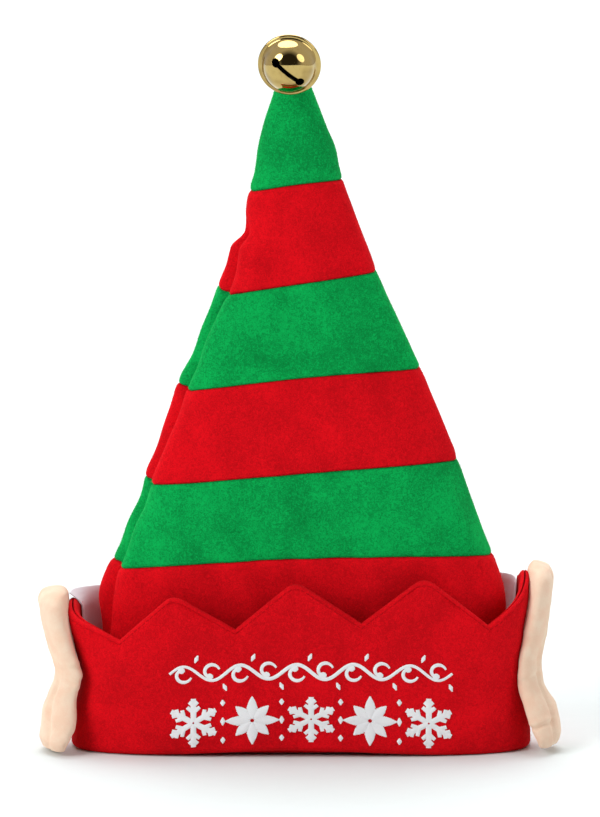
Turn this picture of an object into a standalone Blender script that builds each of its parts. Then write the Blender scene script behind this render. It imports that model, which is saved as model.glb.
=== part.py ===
"""A striped felt elf hat: six bands of felt sewn into a cone, a turned-up cuff with a zigzag edge and a thin
stiffener in its back half, two stuffed ears and a jingle bell. It stands on its rim. Metres, +Z up, the hat's
front towards -Y."""

import math

import bmesh
import bpy
import numpy as np
from mathutils import Matrix, Vector

# Felt and sewing
FELT = 0.0020  # one layer of felt
SEAM_GAP = 0.0003  # clearance between pieces that are sewn together
SEAM_PINCH = 0.0011  # how far a stripe's edge is drawn in by its seam
SEAM_REACH = 0.0060  # how far from the seam the felt is drawn in

# Head opening, measured inside the hem, for a head of about 58 cm
OPENING_HALF_WIDTH = 0.1295
OPENING_HALF_DEPTH = 0.0350

# Crown, the striped cone
CROWN_HEIGHT = 0.4155
HEM_HALF_WIDTH = OPENING_HALF_WIDTH + FELT
HEM_HALF_DEPTH = OPENING_HALF_DEPTH + FELT
LOBE_STEP = 0.0058  # how far the front lobe on the left stays behind the rear one
CREASE_DEPTH = 0.0070  # how far the crease between them is pushed in
CREASE_PLACE = -0.12  # where the crease lies, as a share of the half depth, front negative
CREASE_SPREAD = 0.17  # its half width, as a share of the half depth

# Sections of the crown from hem to tip. Heights are shares of the crown's height, left and right are shares of
# the hem's half width, depth is a share of its half depth, and fold a share of the lobe's step and the crease.
# Roundness is the exponent of the outline on each side: 2 is an ellipse, more is blunter.
CROWN_SECTIONS = (
    # height, left, right, depth, fold, round_left, round_right
    (0.000, 1.000, 1.000, 1.00, 0.00, 3.2, 3.2),
    (0.021, 0.998, 0.998, 0.99, 0.00, 3.2, 3.2),
    (0.100, 0.954, 0.960, 0.92, 0.30, 3.2, 3.1),
    (0.201, 0.940, 0.953, 0.84, 0.85, 3.4, 2.8),
    (0.307, 0.822, 0.854, 0.77, 0.95, 3.8, 2.4),
    (0.448, 0.649, 0.680, 0.68, 0.95, 3.8, 2.2),
    (0.588, 0.482, 0.487, 0.59, 1.00, 3.8, 2.2),
    (0.692, 0.350, 0.336, 0.51, 0.90, 3.4, 2.2),
    (0.726, 0.327, 0.300, 0.48, 0.85, 3.0, 2.2),
    (0.748, 0.264, 0.271, 0.46, 0.35, 2.6, 2.2),
    (0.778, 0.250, 0.231, 0.43, 0.00, 2.2, 2.2),
    (0.830, 0.210, 0.177, 0.40, 0.00, 2.2, 2.2),
    (0.864, 0.196, 0.154, 0.36, 0.00, 2.2, 2.2),
    (0.898, 0.173, 0.113, 0.30, 0.00, 2.2, 2.2),
    (0.942, 0.132, 0.060, 0.23, 0.00, 2.2, 2.2),
    (0.967, 0.108, 0.030, 0.19, 0.00, 2.2, 2.2),
    (0.988, 0.090, 0.008, 0.15, 0.00, 2.2, 2.2),
    (1.000, 0.074, -0.010, 0.12, 0.00, 2.2, 2.2),
)

# Seams between the stripes, from the hem upwards. Heights are shares of the crown's height, at the left fold,
# the middle of the front and the right fold, and then how much higher the back runs.
REAR_FOLD_RISE = 0.0115  # how much higher the seams run on the rear fold, as a share of the height
STRIPE_SEAMS = (
    # left, middle, right, back_rise
    (0.2520, 0.2810, 0.2809, 0.016),
    (0.3750, 0.4022, 0.4187, 0.016),
    (0.5090, 0.5388, 0.5513, 0.016),
    (0.6510, 0.6730, 0.6903, 0.018),
    (0.8020, 0.8157, 0.8218, 0.010),
)
STRIPE_ROWS = (4, 3, 3, 3, 5, 5)  # rows of faces from seam to seam, hem first
COLUMNS = (14, 11, 8, 9)  # columns of faces: front left, back left, back right, front right
FOLD_FROM, FOLD_TO = 0.55, 0.88  # where the fold sets in and is full, as shares of the half width
LOBE_FROM, LOBE_TO = -0.6, 1.2  # where the step starts and ends, in spreads of the crease
BEND_WEIGHT = 0.45  # how much closer columns lie where the outline bends, as a share of its half depth

# Cuff, two layers of felt turned up round the hem
CUFF_HEIGHT = 0.1070  # to the tallest point of the zigzag
CUFF_ROUNDNESS = 3.2  # exponent of its outline, as for the crown
HEM_CLEARANCE = 0.0024  # between the hem and the cuff's lining
RIM_BEND = 0.0010  # inner radius of the fold at the rim
TIP_CURL = 0.0028  # how far the side tips curl in towards the crown
COLUMNS_PER_SLOPE = 4

# Stiffener, a thin plastic sheet that stands up inside the cuff's lining in its back half
STIFFENER = 0.0007
STIFFENER_LEFT_HEIGHT = 0.0920
STIFFENER_RIGHT_HEIGHT = 0.1000
STIFFENER_FROM = 0.248  # where it starts and ends, as shares of the way round from the front centre
STIFFENER_TO = 0.752

# Leaning of the cuff's outer face, in straight runs from row to row. Heights are shares of the cuff's height;
# side and front are how far the face stands out, as shares of the cuff's height. The last run holds the zigzag.
CUFF_PROFILE = (
    # height, side, front
    (0.00, 0.000, 0.000),
    (0.14, -0.010, 0.012),
    (0.38, -0.045, 0.022),
    (0.61, -0.035, 0.030),
    (1.00, 0.012, 0.024),
)

# The zigzag, going right round from the front centre by the right. Places are shares of the whole way round,
# heights are shares of the cuff's height, and blunt is the share of each slope that rounds off at the tip.
ZIGZAG = (
    # tip_at, tip_height, valley_at, valley_height, blunt
    (-0.005, 0.981, 0.055, 0.763, 0.16),
    (0.110, 1.000, 0.174, 0.736, 0.16),
    (0.249, 0.988, 0.323, 0.750, 0.25),
    (0.381, 0.985, 0.441, 0.735, 0.20),
    (0.500, 0.960, 0.559, 0.715, 0.20),
    (0.619, 0.920, 0.677, 0.690, 0.20),
    (0.750, 0.827, 0.831, 0.654, 0.25),
    (0.885, 0.904, 0.940, 0.730, 0.16),
)

# Ears, stuffed and sewn to the sides of the cuff
EAR_HEIGHTS = {"ear_left": 0.0945, "ear_right": 0.1080}
EAR_LIFTS = {"ear_left": 0.0005, "ear_right": 0.0020}  # how far each ear's lobe stays off the ground
EAR_TIP_LEANS = {"ear_left": 0.0060, "ear_right": 0.0}  # how far each ear's tip leans out
EAR_WIDTH = 0.0500  # from the sewn edge back to the tip
EAR_THICKNESS = 0.0160
EAR_SIDES = 12  # points round a section
EAR_PLACES = {"ear_left": 0.202, "ear_right": 0.207}  # where each is sewn on, as a share of the way round

# Sections of an ear from lobe to tip. Height is a share of the ear's height. Start, reach and away are shares
# of its width: where it starts and ends, going back along the cuff from the sewn edge, and how far it stands
# away from the cuff. Thick is a share of its thickness, and splay is degrees that it turns out behind the cuff.
EAR_SECTIONS = (
    # height, start, reach, away, thick, splay
    (0.000, 0.06, 0.30, 0.16, 0.40, 6),
    (0.030, -0.06, 0.42, 0.14, 0.80, 6),
    (0.100, -0.10, 0.46, 0.11, 1.00, 5),
    (0.220, -0.06, 0.50, 0.05, 1.00, 3),
    (0.350, 0.00, 0.54, 0.00, 0.90, 0),
    (0.480, 0.01, 0.58, 0.00, 0.84, 0),
    (0.640, 0.08, 0.76, 0.01, 0.95, 3),
    (0.800, 0.16, 0.92, 0.01, 1.05, 5),
    (0.910, 0.24, 1.00, 0.01, 1.05, 5),
    (0.970, 0.36, 1.02, 0.02, 0.85, 5),
    (1.000, 0.54, 0.94, 0.04, 0.40, 5),
)

# Jingle bell
BELL_RADIUS = 0.0166
BELL_WALL = 0.0009
FLANGE_RADIUS = 0.0186
FLANGE_HALF_THICKNESS = 0.0012
BELL_STEPS = 24
SLOT_LENGTH = 0.0180  # between the centres of the slot's round ends
SLOT_WIDTH = 0.0026
SLOT_END_RADIUS = 0.0025
SLOT_TURN = 40  # degrees that the slot runs down to the right
LOOP_RADIUS = 0.0032
LOOP_WIRE_RADIUS = 0.0008
BELL_DROOP = 17  # degrees that the bell's face looks down
BELL_SIDEWAYS = 4  # degrees that it looks to the left
PELLET_RADIUS = 0.0042
BELL_SIDE_STEP = -0.0068  # the bell's place across the crown's tip
BELL_BELOW_TIP = 0.0050  # the bell's centre under the crown's top

RED = (0.52, 0.006, 0.010)
GREEN = (0.008, 0.30, 0.055)
PEACH = (0.80, 0.56, 0.38)
WHITE = (0.80, 0.78, 0.80)
GOLD = (0.83, 0.60, 0.22)
STEEL = (0.55, 0.55, 0.56)


def material(name, colour, roughness, metallic=0.0):
    """A Principled material of one colour."""
    made = bpy.data.materials.new(name)
    made.use_nodes = True
    shader = made.node_tree.nodes["Principled BSDF"]
    shader.inputs["Base Color"].default_value = (*colour, 1)
    shader.inputs["Roughness"].default_value = roughness
    shader.inputs["Metallic"].default_value = metallic
    return made


def new_object(name, mesh, collection, finish=None):
    made = bpy.data.objects.new(name, mesh)
    collection.objects.link(made)
    if finish:
        mesh.materials.append(finish)
    return made


def from_bmesh(name, shape):
    """A mesh from a bmesh, with its faces pointing out."""
    bmesh.ops.recalc_face_normals(shape, faces=shape.faces[:])
    mesh = bpy.data.meshes.new(name)
    shape.to_mesh(mesh)
    shape.free()
    return mesh


def soften(mesh, sharp_angle=50):
    mesh.shade_smooth()
    mesh.set_sharp_from_angle(angle=math.radians(sharp_angle))


def loft(name, rows, closed=True, caps=()):
    """Quads through rows of points. caps names the rows, 0 or -1, that get a lid."""
    shape = bmesh.new()
    rings = [[shape.verts.new(point) for point in row] for row in rows]
    steps = len(rings[0]) if closed else len(rings[0]) - 1
    for below, above in zip(rings, rings[1:]):
        for k in range(steps):
            after = (k + 1) % len(below)
            shape.faces.new((below[k], below[after], above[after], above[k]))
    for row in caps:
        shape.faces.new(rings[row])
    return from_bmesh(name, shape)


def solidify(obj, thickness):
    """A wall that grows inwards from the surface as drawn."""
    wall = obj.modifiers.new("wall", "SOLIDIFY")
    wall.thickness = thickness
    wall.offset = -1
    wall.use_even_offset = True
    wall.use_quality_normals = True


def table_value(rows, column, at):
    """A smooth curve, without overshoot, through one column of a table whose first column is the place."""
    places = [row[0] for row in rows]
    values = [row[column] for row in rows]
    at = min(max(at, places[0]), places[-1])
    k = max(i for i, place in enumerate(places[:-1]) if place <= at)
    slopes = [(b - a) / (q - p) for a, b, p, q in zip(values, values[1:], places, places[1:])]

    def tangent(i):
        if i == 0 or i == len(slopes):
            return slopes[min(i, len(slopes) - 1)]
        before, after = slopes[i - 1], slopes[i]
        return 0 if before * after <= 0 else 2 * before * after / (before + after)

    step = places[k + 1] - places[k]
    share = (at - places[k]) / step
    rise = values[k + 1] - values[k]
    start_bend = tangent(k) * step - rise
    end_bend = rise - tangent(k + 1) * step
    return values[k] + rise * share + share * (1 - share) * (start_bend * (1 - share) + end_bend * share)


def smooth_step(value, start, end):
    share = np.clip((value - start) / (end - start), 0, 1)
    return share * share * (3 - 2 * share)


def oval(angles, half_width, half_depth, power):
    """Points of an oval at these angles from +X. power 2 is an ellipse, and more is blunter."""
    across, along = np.cos(angles), np.sin(angles)
    x = half_width * np.sign(across) * np.abs(across) ** (2 / power)
    y = half_depth * np.sign(along) * np.abs(along) ** (2 / power)
    return x, y


def evenly(points, count, corner_weight):
    """count points along a run of points, closer together where it bends; the last one is left out."""
    steps = np.diff(points, axis=0)
    length = np.hypot(*steps.T)
    heading = np.unwrap(np.arctan2(steps[:, 1], steps[:, 0]))
    turning = np.abs(np.diff(heading, prepend=heading[0]))
    measure = np.concatenate([[0], np.cumsum(length + corner_weight * turning)])
    at = np.linspace(0, measure[-1], count + 1)[:-1]
    return np.stack([np.interp(at, measure, points[:, k]) for k in (0, 1)], axis=1)


def crown_section(share):
    """The crown's outline at a share of its height, from the front centre round by the left, as (x, y) rows."""
    left, right, depth, fold, round_left, round_right = (
        table_value(CROWN_SECTIONS, column, share) for column in range(1, 7)
    )
    middle = (right - left) / 2 * HEM_HALF_WIDTH
    half_width = (right + left) / 2 * HEM_HALF_WIDTH
    half_depth = depth * HEM_HALF_DEPTH
    quarters = []
    for quarter, count in enumerate(COLUMNS):
        angles = -math.pi / 2 - (quarter + np.linspace(0, 1, 240)) * math.pi / 2
        power = round_left if quarter < 2 else round_right
        x, y = oval(angles, half_width, half_depth, power)
        near_fold = smooth_step(-x / half_width, FOLD_FROM, FOLD_TO)
        from_crease = (y / half_depth - CREASE_PLACE) / CREASE_SPREAD
        lobe = LOBE_STEP * smooth_step(-from_crease, LOBE_FROM, LOBE_TO)
        crease = CREASE_DEPTH * np.exp(-(from_crease**2))
        x = x + fold * near_fold * (lobe + crease) + middle
        quarters.append(evenly(np.stack([x, y], axis=1), count, half_depth * BEND_WEIGHT))
    return np.concatenate(quarters)


class Crown:
    """The crown's outlines at many heights, to read points and seams from."""

    def __init__(self):
        self.shares = np.linspace(0, 1, 241)
        self.outlines = np.stack([crown_section(share) for share in self.shares])

    def point(self, column, height):
        at = height / CROWN_HEIGHT
        return [float(np.interp(at, self.shares, self.outlines[:, column, k])) for k in (0, 1)]

    def seam(self, left, middle, right, back_rise):
        """A seam's height at each column."""
        outline = self.outlines[int(round(middle * (len(self.shares) - 1)))]
        centre = outline[:, 0].mean()
        across = (outline[:, 0] - centre) / np.abs(outline[:, 0] - centre).max()
        back = np.maximum(outline[:, 1] / outline[:, 1].max(), 0)
        front = middle + across * (right - left) / 2 + across**2 * ((right + left) / 2 - middle)
        folded = np.interp(middle, [row[0] for row in CROWN_SECTIONS], [row[4] for row in CROWN_SECTIONS])
        left_side = np.clip((-across - FOLD_FROM) / (FOLD_TO - FOLD_FROM), 0, 1)
        behind = np.clip((outline[:, 1] / outline[:, 1].max() - CREASE_PLACE) / CREASE_SPREAD, 0, 1)
        rear_fold = REAR_FOLD_RISE * folded * left_side * behind * (1 - back)
        return (front + back * back_rise + rear_fold) * CROWN_HEIGHT

    def ring(self, heights, pinch):
        """One ring of points at these heights, drawn in by pinch."""
        flat = [self.point(k, height) for k, height in enumerate(heights)]
        ring = []
        for k, (x, y) in enumerate(flat):
            before, after = flat[k - 1], flat[(k + 1) % len(flat)]
            along = Vector((after[0] - before[0], after[1] - before[1])).normalized()
            ring.append((x + along.y * pinch, y - along.x * pinch, float(heights[k])))
        return ring


def build_crown(collection, finishes):
    """The six stripes, from the hem upwards."""
    crown = Crown()
    hem = np.full(sum(COLUMNS), FELT + SEAM_GAP)
    tip = np.full(sum(COLUMNS), CROWN_HEIGHT)
    seams = [hem] + [crown.seam(*seam) for seam in STRIPE_SEAMS] + [tip]
    last = len(seams) - 2
    for number, (low, high) in enumerate(zip(seams, seams[1:])):
        bottom = low + (SEAM_GAP / 2 if number > 0 else 0)
        top = high - (SEAM_GAP / 2 if number < last else 0)
        reach = SEAM_REACH / float(np.mean(top - bottom))
        rows = []
        for share in [0, *np.linspace(reach, 1 - reach, STRIPE_ROWS[number] - 1), 1]:
            at_seam = (share == 0 and number > 0) or (share == 1 and number < last)
            rows.append(crown.ring(bottom + share * (top - bottom), SEAM_PINCH if at_seam else 0))
        mesh = loft(f"crown_stripe_{number + 1}", rows, caps=(-1,) if number == last else ())
        soften(mesh)
        stripe = new_object(mesh.name, mesh, collection, finishes[number % 2])
        solidify(stripe, FELT)


def cuff_outline(height):
    """The cuff's outer face at this height: x, y and the outward normal, with the share of the way round from
    the front centre by the right."""
    share = height / CUFF_HEIGHT
    outside = HEM_CLEARANCE + 2 * FELT + STIFFENER + 2 * SEAM_GAP
    heights, sides, fronts = zip(*CUFF_PROFILE)
    half_width = HEM_HALF_WIDTH + outside + np.interp(share, heights, sides) * CUFF_HEIGHT
    half_depth = HEM_HALF_DEPTH + outside + np.interp(share, heights, fronts) * CUFF_HEIGHT
    angles = np.linspace(-math.pi / 2, 1.5 * math.pi, 1441)
    x, y = oval(angles, half_width, half_depth, CUFF_ROUNDNESS)
    way = np.concatenate([[0], np.cumsum(np.hypot(np.diff(x), np.diff(y)))])
    return x, y, np.gradient(y), -np.gradient(x), way / way[-1]


def cuff_length(height):
    """How long the way round the cuff's outer face is at this height."""
    x, y = cuff_outline(height)[:2]
    return float(np.hypot(np.diff(x), np.diff(y)).sum())


def cuff_point(place, inset, height):
    """A point this far inside the cuff's outer face, and the outward normal there."""
    x, y, out_x, out_y, way = cuff_outline(height)
    x, y, out_x, out_y = (np.interp(place % 1, way, values) for values in (x, y, out_x, out_y))
    out = Vector((out_x, out_y)).normalized()
    curl_start = CUFF_PROFILE[-2][0]
    above = max(0.0, height / CUFF_HEIGHT - curl_start) / (1 - curl_start)
    sideways = max(0.0, abs(out.x) - 0.5) / 0.5
    curl = TIP_CURL * above * sideways
    return Vector((x, y)) - out * (inset + curl), out


def zigzag():
    """Places round the cuff and the height of its edge there, with a column at each tip and valley."""
    corners = []
    for tip_at, tip_height, valley_at, valley_height, blunt in ZIGZAG:
        corners.append((tip_at, tip_height, blunt))
        corners.append((valley_at, valley_height, blunt))
    corners.append((corners[0][0] + 1, corners[0][1], corners[0][2]))
    columns = []
    for number, (start, end) in enumerate(zip(corners, corners[1:])):
        falling = number % 2 == 0
        tip, valley = (start, end) if falling else (end, start)
        blunt = tip[2]
        for k in range(COLUMNS_PER_SLOPE):
            share = k / COLUMNS_PER_SLOPE
            down = share if falling else 1 - share
            drop = down**2 / (2 * blunt) if down < blunt else down - blunt / 2
            height = tip[1] + (valley[1] - tip[1]) * drop / (1 - blunt / 2)
            columns.append((start[0] + share * (end[0] - start[0]), height * CUFF_HEIGHT))
    return columns


def build_cuff(collection, felt, plastic):
    """The outer layer, folded under at the rim, the lining behind it and the stiffener inside both."""
    columns = zigzag()
    rim = RIM_BEND + FELT
    lining_inset = FELT + STIFFENER + 2 * SEAM_GAP
    foot = lining_inset + 2 * FELT + HEM_CLEARANCE
    start = FELT + SEAM_GAP

    def row(inset, height):
        return [(*cuff_point(place, inset, height)[0], height) for place, _ in columns]

    def wall(inset, low, edges):
        """Rows at the profile's own heights, and above them two that follow the edge."""
        rows = []
        straight = [low] + [share * CUFF_HEIGHT for share, _, _ in CUFF_PROFILE[1:-1]]
        top = straight[-1]
        for height in straight:
            rows.append([(*cuff_point(place, inset, height)[0], height) for place, _ in edges])
        for share in (0.5, 1.0):
            points = []
            for place, edge in edges:
                height = top + share * (edge - top)
                points.append((*cuff_point(place, inset, height)[0], height))
            rows.append(points)
        return rows

    bend = rim * (1 - math.sqrt(0.5))
    outer_rows = [row(foot, 0), row(rim, 0), row(bend, bend)] + wall(0, rim, columns)
    for name, rows in (("cuff_outer", outer_rows), ("cuff_lining", wall(lining_inset, start, columns))):
        mesh = loft(name, rows)
        soften(mesh)
        solidify(new_object(name, mesh, collection, felt), FELT)

    edges = []
    for place, _ in columns:
        if STIFFENER_FROM <= place <= STIFFENER_TO:
            across = (cuff_point(place, 0, CUFF_HEIGHT)[0].x / HEM_HALF_WIDTH + 1) / 2
            edge = STIFFENER_LEFT_HEIGHT + across * (STIFFENER_RIGHT_HEIGHT - STIFFENER_LEFT_HEIGHT)
            edges.append((place, edge))
    rows = wall(lining_inset + FELT + SEAM_GAP, rim + SEAM_GAP, edges)
    mesh = loft("stiffener", rows, closed=False)
    shape = bmesh.new()
    shape.from_mesh(mesh)
    middle = min(shape.faces, key=lambda face: abs(face.calc_center_median().x))
    if middle.normal.y < 0:
        bmesh.ops.reverse_faces(shape, faces=shape.faces[:])
    shape.to_mesh(mesh)
    shape.free()
    soften(mesh)
    solidify(new_object("stiffener", mesh, collection, plastic), STIFFENER)


def ear_ring(name, side, section):
    """One section of an ear: a lens that lies along the cuff from its sewn edge to the cuff's side, and then
    goes straight back."""
    share, start, reach, away, thick, splay = section
    height = EAR_LIFTS[name] + share * EAR_HEIGHTS[name]
    round_the_cuff = cuff_length(height)
    along_cuff = (0.25 - EAR_PLACES[name]) * round_the_cuff
    half_length = (reach - start) / 2 * EAR_WIDTH
    half_thickness = thick * EAR_THICKNESS / 2
    lean = SEAM_GAP + EAR_TIP_LEANS[name] * max(0.0, share - 0.5) / 0.5
    ring = []
    for k in range(EAR_SIDES):
        angle = math.tau * k / EAR_SIDES
        along = (start + reach) / 2 * EAR_WIDTH + half_length * math.cos(angle)
        behind = max(0.0, along - along_cuff)
        out = lean + away * EAR_WIDTH + half_thickness * (1 + math.sin(angle))
        place = side * (EAR_PLACES[name] + (along - behind) / round_the_cuff)
        point, _ = cuff_point(place, -out, height)
        sideways = side * behind * math.tan(math.radians(splay))
        ring.append((point.x + sideways, point.y + behind, height))
    return ring


def build_ear(collection, finish, name, side):
    mesh = loft(name, [ear_ring(name, side, section) for section in EAR_SECTIONS], caps=(0, -1))
    soften(mesh, 80)
    new_object(name, mesh, collection, finish)


def bell_profile():
    """Half of the bell's outside, from its top pole to the pole with the slot."""
    start = math.asin(FLANGE_HALF_THICKNESS / BELL_RADIUS)
    quarter = [
        (BELL_RADIUS * math.cos(angle), BELL_RADIUS * math.sin(angle))
        for angle in np.linspace(math.pi / 2, start, 8)
    ]
    tip = FLANGE_RADIUS - FLANGE_HALF_THICKNESS
    flange = [
        (tip + FLANGE_HALF_THICKNESS * math.cos(angle), FLANGE_HALF_THICKNESS * math.sin(angle))
        for angle in np.linspace(math.pi / 2, -math.pi / 2, 5)
    ]
    return quarter + flange + [(radius, -height) for radius, height in reversed(quarter)]


def turned_shape(name, profile, collection, finish):
    """A solid turned round Z from a profile that runs down its outer side."""
    mesh = bpy.data.meshes.new(name)
    edges = [(k, k + 1) for k in range(len(profile) - 1)]
    mesh.from_pydata([(radius, 0, height) for radius, height in profile], edges, [])
    made = new_object(name, mesh, collection, finish)
    turned = made.modifiers.new("turned", "SCREW")
    turned.steps = turned.render_steps = BELL_STEPS
    turned.use_merge_vertices = True
    turned.merge_threshold = 0.00001
    return made


def ball(name, radius, segments, rings, collection, finish=None):
    shape = bmesh.new()
    bmesh.ops.create_uvsphere(shape, u_segments=segments, v_segments=rings, radius=radius)
    mesh = from_bmesh(name, shape)
    soften(mesh)
    return new_object(name, mesh, collection, finish)


def slot_cutters(collection):
    """The slot's bar and its two round ends, cut through the lower half."""
    turn = Matrix.Rotation(math.radians(SLOT_TURN), 4, "Z")
    depth = BELL_RADIUS * 1.2
    made = []
    for name, end in (("slot_end_left", -1), ("slot_end_right", 1)):
        shape = bmesh.new()
        bmesh.ops.create_cone(
            shape,
            cap_ends=True,
            segments=14,
            radius1=SLOT_END_RADIUS,
            radius2=SLOT_END_RADIUS,
            depth=depth,
        )
        mesh = from_bmesh(name, shape)
        mesh.transform(turn @ Matrix.Translation((end * SLOT_LENGTH / 2, 0, -depth / 2)))
        made.append(new_object(name, mesh, collection))
    shape = bmesh.new()
    bmesh.ops.create_cube(shape, size=1)
    mesh = from_bmesh("slot_bar", shape)
    size = Matrix.Diagonal((SLOT_LENGTH, SLOT_WIDTH, depth, 1))
    mesh.transform(turn @ Matrix.Translation((0, 0, -depth / 2)) @ size)
    made.append(new_object("slot_bar", mesh, collection))
    return made


def bell_loop(collection):
    """A wire loop, soldered on the pole behind."""
    bpy.ops.mesh.primitive_torus_add(
        major_radius=LOOP_RADIUS,
        minor_radius=LOOP_WIRE_RADIUS,
        major_segments=16,
        minor_segments=6,
    )
    loop = bpy.context.active_object
    loop.name = "bell_loop"
    for old in list(loop.users_collection):
        old.objects.unlink(loop)
    collection.objects.link(loop)
    upright = Matrix.Rotation(math.pi / 2, 4, "X")
    loop.data.transform(Matrix.Translation((0, 0, BELL_RADIUS + LOOP_RADIUS / 2)) @ upright)
    return loop


def combine(obj, other, operation):
    """A Boolean with another object, which isn't drawn itself and moves with this one."""
    other.hide_render = True
    other.display_type = "WIRE"
    other.parent = obj
    cut = obj.modifiers.new(other.name, "BOOLEAN")
    cut.operation = operation
    cut.object = other


def build_bell(collection, cutters, brass, steel):
    """Two pressed halves crimped at a flange, with a slot in the front one, a wire loop behind and a pellet."""
    shell = turned_shape("bell_shell", bell_profile(), collection, brass)
    combine(shell, ball("bell_hollow", BELL_RADIUS - BELL_WALL, 20, 12, cutters), "DIFFERENCE")
    for cutter in slot_cutters(cutters):
        combine(shell, cutter, "DIFFERENCE")
    combine(shell, bell_loop(cutters), "UNION")

    facing = Matrix.Rotation(math.radians(-BELL_SIDEWAYS), 4, "Z") @ Matrix.Rotation(
        math.radians(-90 + BELL_DROOP), 4, "X"
    )
    height = CROWN_HEIGHT - BELL_BELOW_TIP
    back = facing @ Vector((0, 0, BELL_RADIUS + 1.5 * LOOP_RADIUS + LOOP_WIRE_RADIUS))
    tip_depth = table_value(CROWN_SECTIONS, 3, (height + back.z) / CROWN_HEIGHT) * HEM_HALF_DEPTH
    centre = Vector((BELL_SIDE_STEP, -tip_depth - SEAM_GAP - back.y, height))
    shell.matrix_world = Matrix.Translation(centre) @ facing
    pellet = ball("bell_pellet", PELLET_RADIUS, 12, 8, collection, steel)
    pellet.location = centre - Vector((0, 0, BELL_RADIUS - BELL_WALL - PELLET_RADIUS - SEAM_GAP))


def build():
    for old in list(bpy.data.objects):
        bpy.data.objects.remove(old)
    hat = bpy.data.collections.new("elf_hat")
    cutters = bpy.data.collections.new("cutters")
    bpy.context.scene.collection.children.link(hat)
    bpy.context.scene.collection.children.link(cutters)
    red = material("red_felt", RED, 0.95)
    green = material("green_felt", GREEN, 0.95)
    peach = material("ear_plush", PEACH, 0.9)
    white = material("white_plastic", WHITE, 0.6)
    brass = material("gold_bell", GOLD, 0.15, 1.0)
    steel = material("pellet_steel", STEEL, 0.35, 1.0)
    build_crown(hat, (red, green))
    build_cuff(hat, red, white)
    build_ear(hat, peach, "ear_left", -1)
    build_ear(hat, peach, "ear_right", 1)
    build_bell(hat, cutters, brass, steel)


build()
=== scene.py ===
# %% [markdown]
# # A striped elf hat in felt, plush and brass
# The real object is a party hat: six bands of brushed felt sewn into a cone, a turned-up cuff of two felt
# layers with a zigzag edge, two stuffed plush ears and a gold jingle bell. The measured shape comes in as a
# fixed frame. This lesson dresses it: every soft piece is made again as a fine mesh on the same curves, with
# the folds, seams and stitches that a sewn thing has, and each finish is mixed from noise, not from pictures.

# %% The tools and the fixed frame
import math

import bpy
import numpy as np
from mathutils import Matrix, Vector


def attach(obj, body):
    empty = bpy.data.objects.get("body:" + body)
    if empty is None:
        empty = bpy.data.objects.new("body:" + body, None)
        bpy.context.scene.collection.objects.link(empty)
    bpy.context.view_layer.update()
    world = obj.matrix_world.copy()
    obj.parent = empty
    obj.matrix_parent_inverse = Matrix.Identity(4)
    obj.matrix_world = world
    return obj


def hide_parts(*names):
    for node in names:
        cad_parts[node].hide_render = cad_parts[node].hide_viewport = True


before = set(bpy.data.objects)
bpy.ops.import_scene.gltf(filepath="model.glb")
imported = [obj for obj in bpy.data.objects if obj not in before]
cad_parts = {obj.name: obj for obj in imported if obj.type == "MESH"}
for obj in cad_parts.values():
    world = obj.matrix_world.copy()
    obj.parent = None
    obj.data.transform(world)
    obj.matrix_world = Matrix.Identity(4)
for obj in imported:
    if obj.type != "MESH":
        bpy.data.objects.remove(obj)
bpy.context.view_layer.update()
print("solids in the frame:", ", ".join(sorted(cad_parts)))

# %% [markdown]
# ## Colours without grey view settings
# Blender's standard view keeps strong reds and greens as strong as cloth dye is. The filmic one would wash
# them out, and then the felt would need false colours to make up for it.

# %% The view's colours
bpy.context.scene.view_settings.view_transform = "Standard"
bpy.context.scene.view_settings.look = "None"

# %% [markdown]
# ## Shader maths as Python
# A material is a tree of nodes. Wiring it by hand takes many lines, so a small class wraps one socket, and
# the ordinary signs on it add Math nodes. Colours are mixed by one method, because a Math node would turn
# them grey, and every other node comes from one method that takes its type, settings and inputs.

# %% A socket that can be added and multiplied
class Value:
    """One output of a node. Plus and times on it add Math nodes."""

    def __init__(self, shader, output):
        self.shader = shader
        self.output = output

    def maths(self, operation, other):
        return self.shader.node("ShaderNodeMath", {"operation": operation}, {0: self, 1: other})

    def __add__(self, other):
        return self.maths("ADD", other)

    def __mul__(self, other):
        return self.maths("MULTIPLY", other)


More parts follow.
